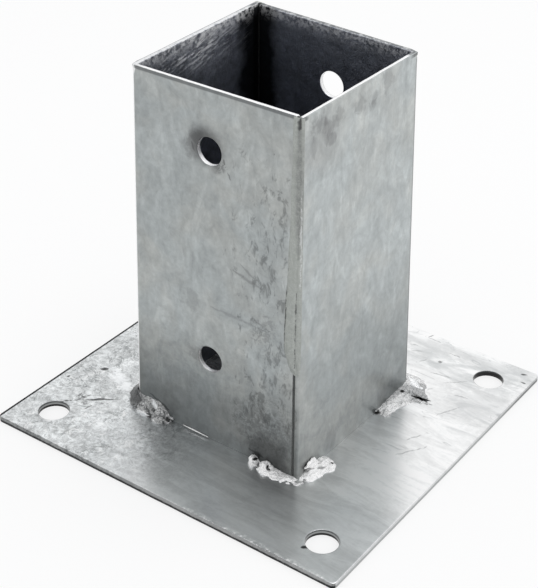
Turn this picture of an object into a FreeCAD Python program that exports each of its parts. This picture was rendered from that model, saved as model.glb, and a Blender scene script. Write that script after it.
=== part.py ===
"""Bolt-down post anchor: a welded square sleeve for a timber post on a drilled base plate.

Frame: origin at the centre of the plate's underside, +Z up the sleeve.
-Y is the drilled wall with the two cross-bolt holes, +X the plain wall beside it.
The sleeve is two folded angles. Their free edges meet in open joints at the +X -Y corner
and at the -X +Y corner, and their bends are the other two corners.
"""
import FreeCAD, Part
import math
import os
from dataclasses import dataclass

import Sketcher

# Driving sizes, in millimetres
SIZES = {
    # Sleeve
    "post_clear_width": 71.0,
    "sleeve_sheet": 2.0,
    "sleeve_height": 146.0,
    "bend_inner_radius": 0.6,
    "seam_gap": 0.9,
    "standing_gap": 0.25,
    # Cross-bolt holes through the two drilled walls, each measured from its own bend
    "cross_hole_diameter": 11.0,
    "cross_hole_lower": 36.5,
    "cross_hole_pitch": 86.5,
    "front_hole_from_bend": 35.4,
    "rear_hole_from_bend": 37.5,
    # Base plate
    "plate_length": 157.0,
    "plate_width": 149.0,
    "plate_sheet": 2.5,
    "plate_corner_radius": 1.8,
    "plate_arris": 0.35,
    "plate_hole_diameter": 12.0,
    "plate_hole_inset": 15.2,
    # Seam welds down the two open joints
    "seam_weld_length": 100.5,
    "seam_weld_reach": 3.6,
    "seam_weld_rise": 0.8,
    "seam_weld_root": 1.4,
    "seam_weld_below_rim": 0.4,
    # Corner welds between sleeve and plate: a run is the length of a row of lumps,
    # a sink the depth of their centres below the plate's top face
    "weld_pitch": 20.0,
    "weld_waist": 0.3,
    "front_weld_sink": 8.0,
    "front_weld_corner": 9.3,
    "front_weld_run_x": 15.0,
    "front_weld_toe_x": 10.0,
    "front_weld_run_y": 10.5,
    "front_weld_toe_y": 10.8,
    "right_weld_sink": 6.0,
    "right_weld_corner": 9.4,
    "right_weld_run_x": 9.0,
    "right_weld_toe_x": 9.0,
    "right_weld_run_y": 15.5,
    "right_weld_toe_y": 9.6,
    "right_weld_spur": 11.0,
    "right_weld_spur_tip": 7.2,
    "left_weld_sink": 0.8,
    "left_weld_corner": 5.6,
    "left_weld_run_x": 10.0,
    "left_weld_toe_x": 5.3,
    "left_weld_run_y": 8.0,
    "left_weld_toe_y": 5.0,
    "back_weld_sink": 1.6,
    "back_weld_corner": 5.0,
    "back_weld_run_x": 13.0,
    "back_weld_toe_x": 4.8,
    "back_weld_run_y": 15.0,
    "back_weld_toe_y": 5.2,
    # How far a cutting tool runs past the face that it opens
    "cut_margin": 5.0,
}

DOC = FreeCAD.newDocument("post_anchor")


def make_sheet():
    """Write the driving sizes into a spreadsheet, one alias a row."""
    sheet = DOC.addObject("Spreadsheet::Sheet", "Sizes")
    for row, (alias, value) in enumerate(SIZES.items(), start=1):
        sheet.set("A%d" % row, alias.replace("_", " "))
        sheet.set("B%d" % row, repr(value))
        sheet.setAlias("B%d" % row, alias)
    DOC.recompute()
    return sheet


SHEET = make_sheet()


class Size:
    """A length held both as a number and as the expression on the sheet that gives it."""

    def __init__(self, value, text):
        self.value = value
        self.text = text

    @staticmethod
    def of(thing):
        return thing if isinstance(thing, Size) else Size(float(thing), repr(float(thing)))

    def _join(self, sign, other, value):
        return Size(value, "(%s %s %s)" % (self.text, sign, other.text))

    def __add__(self, other):
        other = Size.of(other)
        return self._join("+", other, self.value + other.value)

    def __sub__(self, other):
        other = Size.of(other)
        return self._join("-", other, self.value - other.value)

    def __mul__(self, other):
        other = Size.of(other)
        return self._join("*", other, self.value * other.value)

    def __truediv__(self, other):
        other = Size.of(other)
        return self._join("/", other, self.value / other.value)

    def __neg__(self):
        return Size(-self.value, "(-1 * %s)" % self.text)


def size(alias):
    """The sheet's value of that name."""
    return Size(float(SHEET.get(alias)), "Sizes.%s" % alias)


ZERO = Size.of(0.0)
SHEET_WALL = size("sleeve_sheet")
SLEEVE_OUTER = size("post_clear_width") + SHEET_WALL * 2
HALF_SLEEVE = SLEEVE_OUTER / 2
PLATE_TOP = size("plate_sheet")
SLEEVE_FOOT = PLATE_TOP + size("standing_gap")
SLEEVE_RIM = SLEEVE_FOOT + size("sleeve_height")


# Helpers for the document

def bind(thing, **properties):
    """Bind properties to sizes. A double underscore stands for the dot of a nested one."""
    for name, amount in properties.items():
        thing.setExpression(name.replace("__", "."), Size.of(amount).text)


def place(thing, at, rotation=FreeCAD.Rotation()):
    """Put an object at three bound coordinates, with its own axes turned."""
    spot = FreeCAD.Vector(at[0].value, at[1].value, at[2].value)
    thing.Placement = FreeCAD.Placement(spot, rotation)
    for axis, amount in zip("xyz", at):
        thing.setExpression("Placement.Base.%s" % axis, amount.text)


def turned(degrees):
    """A turn about the upright axis."""
    return FreeCAD.Rotation(FreeCAD.Vector(0, 0, 1), degrees)


def lying_along(step_x, step_y):
    """The turn that lays an upright object down along a direction in the plan."""
    return FreeCAD.Rotation(FreeCAD.Vector(0, 0, 1), FreeCAD.Vector(step_x, step_y, 0))


def origin_plane(body, role):
    """The body's own origin plane of that role, such as XY_Plane."""
    return next(item for item in body.Origin.OriginFeatures if item.Role == role)


def make_sketch(body, name, role):
    sketch = body.newObject("Sketcher::SketchObject", name)
    sketch.AttachmentSupport = [(origin_plane(body, role), "")]
    sketch.MapMode = "FlatFace"
    return sketch


def pin(sketch, geometry, point, spot):
    """Hold one point of a sketch at two bound distances from the sketch's origin."""
    for kind, amount in zip(("DistanceX", "DistanceY"), spot):
        if amount.value < 0:
            amount = -amount
            rule = Sketcher.Constraint(kind, geometry, point, -1, 1, amount.value)
        else:
            rule = Sketcher.Constraint(kind, -1, 1, geometry, point, amount.value)
        index = sketch.addConstraint(rule)
        sketch.setExpression("Constraints[%d]" % index, amount.text)


def draw_polygon(sketch, corners):
    """A closed outline of straight edges through the corners, each corner pinned."""
    spots = [FreeCAD.Vector(x.value, y.value, 0) for x, y in corners]
    first = len(sketch.Geometry)
    for index, spot in enumerate(spots):
        following = spots[(index + 1) % len(spots)]
        sketch.addGeometry(Part.LineSegment(spot, following), False)
    for index, corner in enumerate(corners):
        before = (index - 1) % len(corners)
        meet = Sketcher.Constraint("Coincident", first + before, 2, first + index, 1)
        sketch.addConstraint(meet)
        pin(sketch, first + index, 1, corner)


def draw_circles(sketch, centres, diameter):
    """Circles of one diameter, each centre pinned."""
    for x, y in centres:
        centre = FreeCAD.Vector(x.value, y.value, 0)
        circle = Part.Circle(centre, FreeCAD.Vector(0, 0, 1), diameter.value / 2)
        index = sketch.addGeometry(circle, False)
        pin(sketch, index, 3, (x, y))
        rule = sketch.addConstraint(Sketcher.Constraint("Diameter", index, diameter.value))
        sketch.setExpression("Constraints[%d]" % rule, diameter.text)


def pad(body, sketch, name, height):
    feature = body.newObject("PartDesign::Pad", name)
    feature.Profile = sketch
    bind(feature, Length=height)
    sketch.Visibility = False
    DOC.recompute()
    return feature


def pocket_both_ways(body, sketch, name, depth):
    """Cut the sketch's outline out of the body, the same depth to both sides of its plane."""
    before = body.Shape.Volume
    feature = body.newObject("PartDesign::Pocket", name)
    feature.Profile = sketch
    feature.Type = "Length"
    feature.Midplane = True
    bind(feature, Length=depth)
    DOC.recompute()
    if not body.Shape.Volume < before:
        raise RuntimeError("%s cuts nothing" % name)
    return feature


def edges_where(shape, accept):
    """Names of the edges that the test accepts."""
    return ["Edge%d" % (number + 1) for number, edge in enumerate(shape.Edges) if accept(edge)]


def round_edges(body, base, name, accept, radius):
    """Fillet the edges of a feature that the test accepts."""
    names = edges_where(base.Shape, accept)
    if not names:
        raise RuntimeError("%s finds no edge" % name)
    feature = body.newObject("PartDesign::Fillet", name)
    feature.Base = (base, names)
    bind(feature, Radius=radius)
    DOC.recompute()
    return feature


def upright_at(spots):
    """A test for straight upright edges that stand at one of the given spots."""
    def accept(edge):
        box = edge.BoundBox
        if box.XLength + box.YLength > 1e-6:
            return False
        return any(math.hypot(box.XMin - x, box.YMin - y) < 1e-4 for x, y in spots)
    return accept


# Base plate

def make_base_plate():
    """Sheared square plate with eased corners, a broken top arris and four bolt holes."""
    half_length = size("plate_length") / 2
    half_width = size("plate_width") / 2
    body = DOC.addObject("PartDesign::Body", "base_plate")
    outline = make_sketch(body, "plate_outline", "XY_Plane")
    signs = ((-1, -1), (1, -1), (1, 1), (-1, 1))
    draw_polygon(outline, [(half_length * sx, half_width * sy) for sx, sy in signs])
    blank = pad(body, outline, "plate_blank", PLATE_TOP)

    corners = [(half_length.value * sx, half_width.value * sy) for sx, sy in signs]
    radius = size("plate_corner_radius")
    eased = round_edges(body, blank, "plate_corners", upright_at(corners), radius)

    top_edges = edges_where(eased.Shape, lambda edge: edge.BoundBox.ZMin > PLATE_TOP.value - 1e-4)
    arris = body.newObject("PartDesign::Chamfer", "plate_arris")
    arris.Base = (eased, top_edges)
    bind(arris, Size=size("plate_arris"))
    DOC.recompute()

    inset = size("plate_hole_inset")
    reach_x = half_length - inset
    reach_y = half_width - inset
    holes = make_sketch(body, "plate_hole_circles", "XY_Plane")
    centres = [(reach_x * sx, reach_y * sy) for sx, sy in signs]
    draw_circles(holes, centres, size("plate_hole_diameter"))
    depth = (PLATE_TOP + size("cut_margin")) * 2
    pocket_both_ways(body, holes, "plate_holes", depth)
    return body


# Folded angles of the sleeve

def make_folded_angle(name, turn, hole_from_bend):
    """One bent sheet, drawn as the angle whose bend is the -X -Y corner, then turned.

    The drilled wall runs along X and stops a seam gap short of the other angle's inner face.
    The plain wall runs along Y over the full width of the sleeve.
    """
    inner = HALF_SLEEVE - SHEET_WALL
    free_edge = inner - size("seam_gap")
    body = DOC.addObject("PartDesign::Body", name)
    outline = make_sketch(body, name + "_outline", "XY_Plane")
    draw_polygon(outline, [
        (free_edge, -HALF_SLEEVE),
        (-HALF_SLEEVE, -HALF_SLEEVE),
        (-HALF_SLEEVE, HALF_SLEEVE),
        (-inner, HALF_SLEEVE),
        (-inner, -inner),
        (free_edge, -inner),
    ])
    folded = pad(body, outline, name + "_sheet", size("sleeve_height"))

    inner_corner = [(-inner.value, -inner.value)]
    outer_corner = [(-HALF_SLEEVE.value, -HALF_SLEEVE.value)]
    inner_radius = size("bend_inner_radius")
    inner_bend = round_edges(body, folded, name + "_inner_bend",
                             upright_at(inner_corner), inner_radius)
    round_edges(body, inner_bend, name + "_outer_bend",
                upright_at(outer_corner), inner_radius + SHEET_WALL)

    lower = size("cross_hole_lower") - size("standing_gap")
    upper = lower + size("cross_hole_pitch")
    hole_x = hole_from_bend - HALF_SLEEVE
    holes = make_sketch(body, name + "_hole_circles", "XZ_Plane")
    draw_circles(holes, [(hole_x, lower), (hole_x, upper)], size("cross_hole_diameter"))
    depth = SLEEVE_OUTER + size("cut_margin")
    pocket_both_ways(body, holes, name + "_holes", depth)
    place(body, (ZERO, ZERO, SLEEVE_FOOT), turned(turn))
    return body


# Space that the sleeve and the plate fill, which the weld metal keeps out of

def make_sleeve_block(name):
    """The sleeve's outline as a full block, from inside the plate to above the rim."""
    body = DOC.addObject("PartDesign::Body", name)
    outline = make_sketch(body, name + "_outline", "XY_Plane")
    signs = ((-1, -1), (1, -1), (1, 1), (-1, 1))
    draw_polygon(outline, [(HALF_SLEEVE * sx, HALF_SLEEVE * sy) for sx, sy in signs])
    height = SLEEVE_RIM + size("cut_margin")
    block = pad(body, outline, name + "_pad", height)
    half = HALF_SLEEVE.value
    bends = upright_at([(-half, -half), (half, half)])
    bend_radius = size("bend_inner_radius") + SHEET_WALL
    round_edges(body, block, name + "_bends", bends, bend_radius)
    return body


def make_plate_block(name):
    """A block that reaches from below the deepest weld bead up to the plate's top face."""
    block = DOC.addObject("Part::Box", name)
    depth = size("cut_margin") * 5
    bind(block, Length=size("plate_length"), Width=size("plate_width"), Height=depth)
    place(block, (size("plate_length") / -2, size("plate_width") / -2, PLATE_TOP - depth))
    return block


# Seam welds

def make_seam_weld(name, turn):
    """A low bead over one open joint, with a root that fills the top of the gap.

    The bead is the slice of a round bar that stands proud of the drilled wall.
    """
    length = size("seam_weld_length")
    foot = SLEEVE_RIM - size("seam_weld_below_rim") - length
    reach = size("seam_weld_reach")
    rise = size("seam_weld_rise")
    radius = (reach * reach + rise * rise) / (rise * 2)
    bar = DOC.addObject("Part::Cylinder", name + "_bar")
    bind(bar, Radius=radius, Height=length)
    place(bar, (HALF_SLEEVE - reach, radius - rise - HALF_SLEEVE, foot))

    margin = size("cut_margin")
    front = DOC.addObject("Part::Box", name + "_front")
    bind(front, Length=(reach + margin) * 2, Width=margin, Height=length)
    place(front, (HALF_SLEEVE - reach * 2 - margin, -HALF_SLEEVE - margin, foot))
    bead = DOC.addObject("Part::Common", name + "_bead")
    bead.Base = bar
    bead.Tool = front

    gap = size("seam_gap")
    root = DOC.addObject("Part::Box", name + "_root")
    bind(root, Length=gap, Width=size("seam_weld_root"), Height=length)
    place(root, (HALF_SLEEVE - SHEET_WALL - gap, -HALF_SLEEVE, foot))

    weld = DOC.addObject("Part::Fuse", name)
    weld.Base = bead
    weld.Tool = root
    place(weld, (ZERO, ZERO, ZERO), turned(turn))
    DOC.recompute()
    return weld


# Corner welds

@dataclass(frozen=True)
class CornerWeld:
    """Where a corner weld sits and how far it runs along the two walls that meet there."""

    name: str
    side_x: int
    side_y: int
    spur: bool = False

    def of(self, what):
        return size("%s_weld_%s" % (self.name, what))


CORNER_WELDS = (
    CornerWeld("front", 1, -1),
    CornerWeld("right", 1, 1, spur=True),
    CornerWeld("left", -1, -1),
    CornerWeld("back", -1, 1),
)


def lump_row(name, start, step_x, step_y, run, first_radius, last_radius, skip_first):
    """Round lumps that swell or shrink evenly along a run, with a slimmer neck between each."""
    count = max(1, round(run.value / size("weld_pitch").value))
    pitch = run / count
    lying = lying_along(step_x, step_y)
    pieces = []
    for index in range(count + 1):
        radius = first_radius * (1 - index / count) + last_radius * (index / count)
        along = pitch * index
        spot = (start[0] + along * step_x, start[1] + along * step_y, start[2])
        if index or not skip_first:
            lump = DOC.addObject("Part::Sphere", "%s_lump_%d" % (name, index))
            bind(lump, Radius=radius)
            place(lump, spot, lying)
            pieces.append(lump)
        if index < count:
            share = (index + 1) / count
            following = first_radius * (1 - share) + last_radius * share
            waist = size("weld_waist")
            neck = DOC.addObject("Part::Cone", "%s_neck_%d" % (name, index))
            bind(neck, Radius1=radius - waist, Radius2=following - waist, Height=pitch)
            place(neck, spot, lying)
            pieces.append(neck)
    return pieces


def make_corner_weld(weld, keep_out):
    """Lumps along both walls from the corner, cut back to the faces that they are laid on."""
    label = "base_weld_%s" % weld.name
    depth = PLATE_TOP - weld.of("sink")
    corner = (HALF_SLEEVE * weld.side_x, HALF_SLEEVE * weld.side_y, depth)
    root = weld.of("corner")
    pieces = lump_row(label + "_x", corner, -weld.side_x, 0,
                      weld.of("run_x"), root, weld.of("toe_x"), False)
    pieces += lump_row(label + "_y", corner, 0, -weld.side_y,
                       weld.of("run_y"), root, weld.of("toe_y"), True)
    if weld.spur:
        pieces += lump_row(label + "_spur", corner, weld.side_x, 0,
                           weld.of("spur"), root, weld.of("spur_tip"), True)
    puddle = DOC.addObject("Part::MultiFuse", label + "_puddle")
    puddle.Shapes = pieces
    laid = DOC.addObject("Part::Cut", label)
    laid.Base = puddle
    laid.Tool = keep_out
    DOC.recompute()
    return laid


# Assembly and export

def check(parts):
    """Stop if any object failed or any sub-part has no sound solid."""
    for thing in DOC.Objects:
        if "Invalid" in thing.State or "Error" in thing.State:
            raise RuntimeError("%s failed: %s" % (thing.Name, thing.State))
    for part in parts:
        shape = part.Shape
        if shape.isNull() or not shape.isValid() or not shape.Solids:
            raise RuntimeError("%s has no sound solid" % part.Label)


def main():
    angle_left = make_folded_angle("folded_angle_left", 0.0, size("front_hole_from_bend"))
    angle_right = make_folded_angle("folded_angle_right", 180.0, size("rear_hole_from_bend"))
    parts = [make_base_plate(), angle_left, angle_right]

    sleeve_block = make_sleeve_block("sleeve_block")
    keep_out = DOC.addObject("Part::Fuse", "weld_keep_out")
    keep_out.Base = sleeve_block
    keep_out.Tool = make_plate_block("plate_block")
    DOC.recompute()

    parts.append(make_seam_weld("seam_weld_front", 0.0))
    parts.append(make_seam_weld("seam_weld_back", 180.0))
    parts += [make_corner_weld(weld, keep_out) for weld in CORNER_WELDS]

    DOC.recompute()
    check(parts)
    os.makedirs("parts", exist_ok=True)
    for part in parts:
        part.Shape.exportStep("parts/%s.step" % part.Label)
        box = part.Shape.BoundBox
        print("%-20s volume %8.1f mm3  solids %d  z %.2f to %.2f" % (
            part.Label, part.Shape.Volume, len(part.Shape.Solids), box.ZMin, box.ZMax))


main()
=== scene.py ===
"""Bolt-down post anchor: dressed sheet-metal pieces, weld metal, light and camera.

Everything is in metres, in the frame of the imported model: the origin is the centre of the
plate's underside, +Z runs up the sleeve, -Y is the drilled wall, +X the plain wall beside it.
"""

import logging
import math
from dataclasses import dataclass, replace
from enum import Enum
from typing import Callable, Iterable, Sequence

import bmesh
import bpy
from mathutils import Matrix, Vector, noise
from mathutils.geometry import delaunay_2d_cdt


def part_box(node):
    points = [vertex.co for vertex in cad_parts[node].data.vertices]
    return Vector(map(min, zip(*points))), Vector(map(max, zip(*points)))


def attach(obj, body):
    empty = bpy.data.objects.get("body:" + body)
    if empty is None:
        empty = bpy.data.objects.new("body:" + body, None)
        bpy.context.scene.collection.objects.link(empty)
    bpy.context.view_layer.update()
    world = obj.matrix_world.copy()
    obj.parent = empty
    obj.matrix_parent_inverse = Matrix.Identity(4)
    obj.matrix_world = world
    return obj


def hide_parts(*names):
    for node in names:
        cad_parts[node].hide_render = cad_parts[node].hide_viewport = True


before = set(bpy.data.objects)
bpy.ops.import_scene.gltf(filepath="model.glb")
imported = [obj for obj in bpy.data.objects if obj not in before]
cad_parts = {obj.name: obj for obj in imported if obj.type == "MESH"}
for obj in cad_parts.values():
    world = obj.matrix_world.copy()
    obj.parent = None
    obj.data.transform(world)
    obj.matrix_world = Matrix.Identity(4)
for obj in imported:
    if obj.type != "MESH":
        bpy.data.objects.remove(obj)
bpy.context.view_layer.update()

LOG = logging.getLogger("post_anchor")

MM = 0.001
PHOTO_WIDTH = 538
PHOTO_HEIGHT = 588
SENSOR_WIDTH = 36.0

# Sizes that the sleeve's sheets and their joints share
HALF_SLEEVE = 37.5 * MM
SHEET_WALL = 2.0 * MM
SEAM_GAP = 0.9 * MM
HALF_SOCKET = HALF_SLEEVE - SHEET_WALL

# The plate's top, and the corner welds' reach into it, in millimetres
PLATE_TOP = 2.5
WELD_ROOT = 0.5

# How far each bent corner stands off upright, along X, at its foot and at its rim
LEFT_LEAN = (-2.2 * MM, 1.2 * MM)
RIGHT_LEAN = (1.4 * MM, -1.7 * MM)

# How much lower the rim is at the turned sheet's bend than at its free edges
RIGHT_DROOP = 2.1 * MM

# How far a pit drifts in X and Y for each unit that it climbs
PIT_SLANT = (-0.697, 1.011, -1.0)

Point2 = tuple[float, float]
Loop = list[Point2]
Point3 = tuple[float, float, float]
Colour = tuple[float, float, float]
Socket = bpy.types.NodeSocket

WHITE: Colour = (1.0, 1.0, 1.0)
ORIGIN: Point3 = (0.0, 0.0, 0.0)
VALUE = "NodeSocketFloat"


class Slot(Enum):
    """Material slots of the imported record."""

    PLATE = "plate_zinc"
    SLEEVE = "sleeve_zinc"
    SEAM = "seam_zinc"
    WELD = "weld_zinc"


# Node trees

class Graph:
    """Adds nodes to one node tree and wires them by socket name."""

    def __init__(self, tree: bpy.types.NodeTree) -> None:
        """Start on a tree.

        Args:
            tree: The node tree that the nodes go into.
        """
        self.tree = tree

    def add(self, kind: str, feeds: dict | None = None, **settings: object) -> bpy.types.Node:
        """Add one node.

        Args:
            kind: The node's type name.
            feeds: Input socket name or index to a plain value or to another node's output.
            **settings: Attributes of the node.

        Returns:
            The new node.
        """
        node = self.tree.nodes.new(kind)
        for name, value in settings.items():
            setattr(node, name, value)
        for key, value in (feeds or {}).items():
            self.feed(node.inputs[key], value)
        return node

    def feed(self, socket: Socket, value: object) -> None:
        """Give an input a plain value or link an output to it.

        Args:
            socket: The input.
            value: A number, a tuple or an output socket.
        """
        if isinstance(value, bpy.types.NodeSocket):
            self.tree.links.new(value, socket)
        else:
            socket.default_value = value

    def math(self, operation: str, *values: object, clamp: bool = False) -> Socket:
        """A Math node on up to three values."""
        feeds = dict(enumerate(values))
        return self.add("ShaderNodeMath", feeds, operation=operation, use_clamp=clamp).outputs[0]

    def times(self, first: object, *others: object) -> Socket:
        """The product of some values."""
        for other in others:
            first = self.math("MULTIPLY", first, other)
        return first

    def most(self, first: object, *others: object) -> Socket:
        """The greatest of some values."""
        for other in others:
            first = self.math("MAXIMUM", first, other)
        return first

    def times_plus(self, value: object, factor: object, offset: object) -> Socket:
        """A value times a factor, plus an offset."""
        return self.math("MULTIPLY_ADD", value, factor, offset)

    def plus(self, first: object, second: object) -> Socket:
        """The sum of two values."""
        return self.math("ADD", first, second)

    def minus(self, first: object, second: object) -> Socket:
        """The first value less the second."""
        return self.math("SUBTRACT", first, second)

    def flip(self, share: object) -> Socket:
        """What a share leaves of one."""
        return self.math("SUBTRACT", 1.0, share)

    def positive(self, value: object) -> Socket:
        """A value without its sign."""
        return self.math("ABSOLUTE", value)

    def blend(self, share: object, first: object, second: object) -> Socket:
        """Mix two numbers."""
        return self.add("ShaderNodeMix", {0: share, 2: first, 3: second}).outputs[0]

    def vector(self, operation: str, first: object, second: object) -> Socket:
        """A Vector Math node on two vectors."""
        feeds = {0: first, 1: second}
        return self.add("ShaderNodeVectorMath", feeds, operation=operation).outputs[0]

    def dot(self, first: object, second: object) -> Socket:
        """The dot product of two vectors."""
        feeds = {0: first, 1: second}
        return self.add("ShaderNodeVectorMath", feeds, operation="DOT_PRODUCT").outputs["Value"]

    def length(self, value: object) -> Socket:
        """The length of a vector."""
        return self.add("ShaderNodeVectorMath", {0: value}, operation="LENGTH").outputs["Value"]

    def scaled(self, value: object, factor: object) -> Socket:
        """A vector or colour times a number."""
        feeds = {0: value, "Scale": factor}
        return self.add("ShaderNodeVectorMath", feeds, operation="SCALE").outputs[0]

    def split(self, value: object) -> Sequence[Socket]:
        """The three parts of a vector."""
        return self.add("ShaderNodeSeparateXYZ", {0: value}).outputs

    def joined(self, *parts: object) -> Socket:
        """A vector from its three parts."""
        return self.add("ShaderNodeCombineXYZ", dict(enumerate(parts))).outputs[0]

    def stretched(self, place: Socket, turn: Point3, scale: Point3) -> Socket:
        """Coordinates that are scaled and then turned, in radians."""
        feeds = {"Vector": place, "Rotation": turn, "Scale": scale}
        return self.add("ShaderNodeMapping", feeds).outputs[0]

    def ramp(self, value: object, low: float, high: float, start: float = 0.0,
             end: float = 1.0, smooth: bool = True) -> Socket:
        """Map a value's range to another, clamped.

        Args:
            value: The value or socket to map.
            low: Where the input range starts.
            high: Where the input range ends.
            start: Output at low.
            end: Output at high.
            smooth: Whether the change eases in and out.

        Returns:
            The mapped value.
        """
        kind = "SMOOTHSTEP" if smooth else "LINEAR"
        feeds = {"Value": value, "From Min": low, "From Max": high, "To Min": start, "To Max": end}
        node = self.add("ShaderNodeMapRange", feeds, interpolation_type=kind, clamp=True)
        return node.outputs["Result"]

    def mix(self, share: object, first: object, second: object, blend: str = "MIX") -> Socket:
        """Mix two colours.

        Args:
            share: How much of the second colour shows.
            first: The colour at a share of 0.
            second: The colour at a share of 1.
            blend: How Blender's Mix node blends them.

        Returns:
            The mixed colour.
        """
        node = self.add("ShaderNodeMix", data_type="RGBA", blend_type=blend, clamp_factor=True)
        self.feed(node.inputs[0], share)
        self.feed(node.inputs[6], first if not isinstance(first, tuple) else (*first[:3], 1.0))
        self.feed(node.inputs[7], second if not isinstance(second, tuple) else (*second[:3], 1.0))
        return node.outputs[2]

    def noise(self, place: object, size: object, detail: float = 3.0, rough: float = 0.55,
              warp: float = 0.0) -> Socket:
        """A noise value of about the given number of features a metre."""
        feeds = {"Vector": place, "Scale": size, "Detail": detail, "Roughness": rough,
                 "Distortion": warp}
        return self.add("ShaderNodeTexNoise", feeds).outputs["Fac"]


class EffectGroup:
    """A shader node group with named inputs and outputs, built once and used by many finishes."""

    def __init__(self, name: str, inputs: dict[str, object], outputs: dict[str, str]) -> None:
        """Make the group's interface.

        Args:
            name: The group's name.
            inputs: Input name to its default; a tuple of three makes a vector socket.
            outputs: Output name to its socket type.
        """
        self.tree = bpy.data.node_groups.new(name, "ShaderNodeTree")
        for title, default in inputs.items():
            kind = "NodeSocketVector" if isinstance(default, tuple) else VALUE
            socket = self.tree.interface.new_socket(title, in_out="INPUT", socket_type=kind)
            socket.default_value = default
        for title, kind in outputs.items():
            self.tree.interface.new_socket(title, in_out="OUTPUT", socket_type=kind)
        self.graph = Graph(self.tree)
        self.source = self.tree.nodes.new("NodeGroupInput").outputs
        self.sink = self.tree.nodes.new("NodeGroupOutput").inputs

    def put_out(self, **values: Socket) -> None:
        """Link values to the outputs of the same names, with underscores for spaces."""
        for title, value in values.items():
            self.graph.feed(self.sink[title.replace("_", " ")], value)

    def use(self, graph: Graph, **feeds: object) -> bpy.types.Node:
        """Place the group in another tree.

        Args:
            graph: The tree's graph.
            **feeds: Input name, with underscores for spaces, to value or socket.

        Returns:
            The group node.
        """
        node = graph.add("ShaderNodeGroup", node_tree=self.tree)
        for title, value in feeds.items():
            graph.feed(node.inputs[title.replace("_", " ")], value)
        return node


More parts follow.
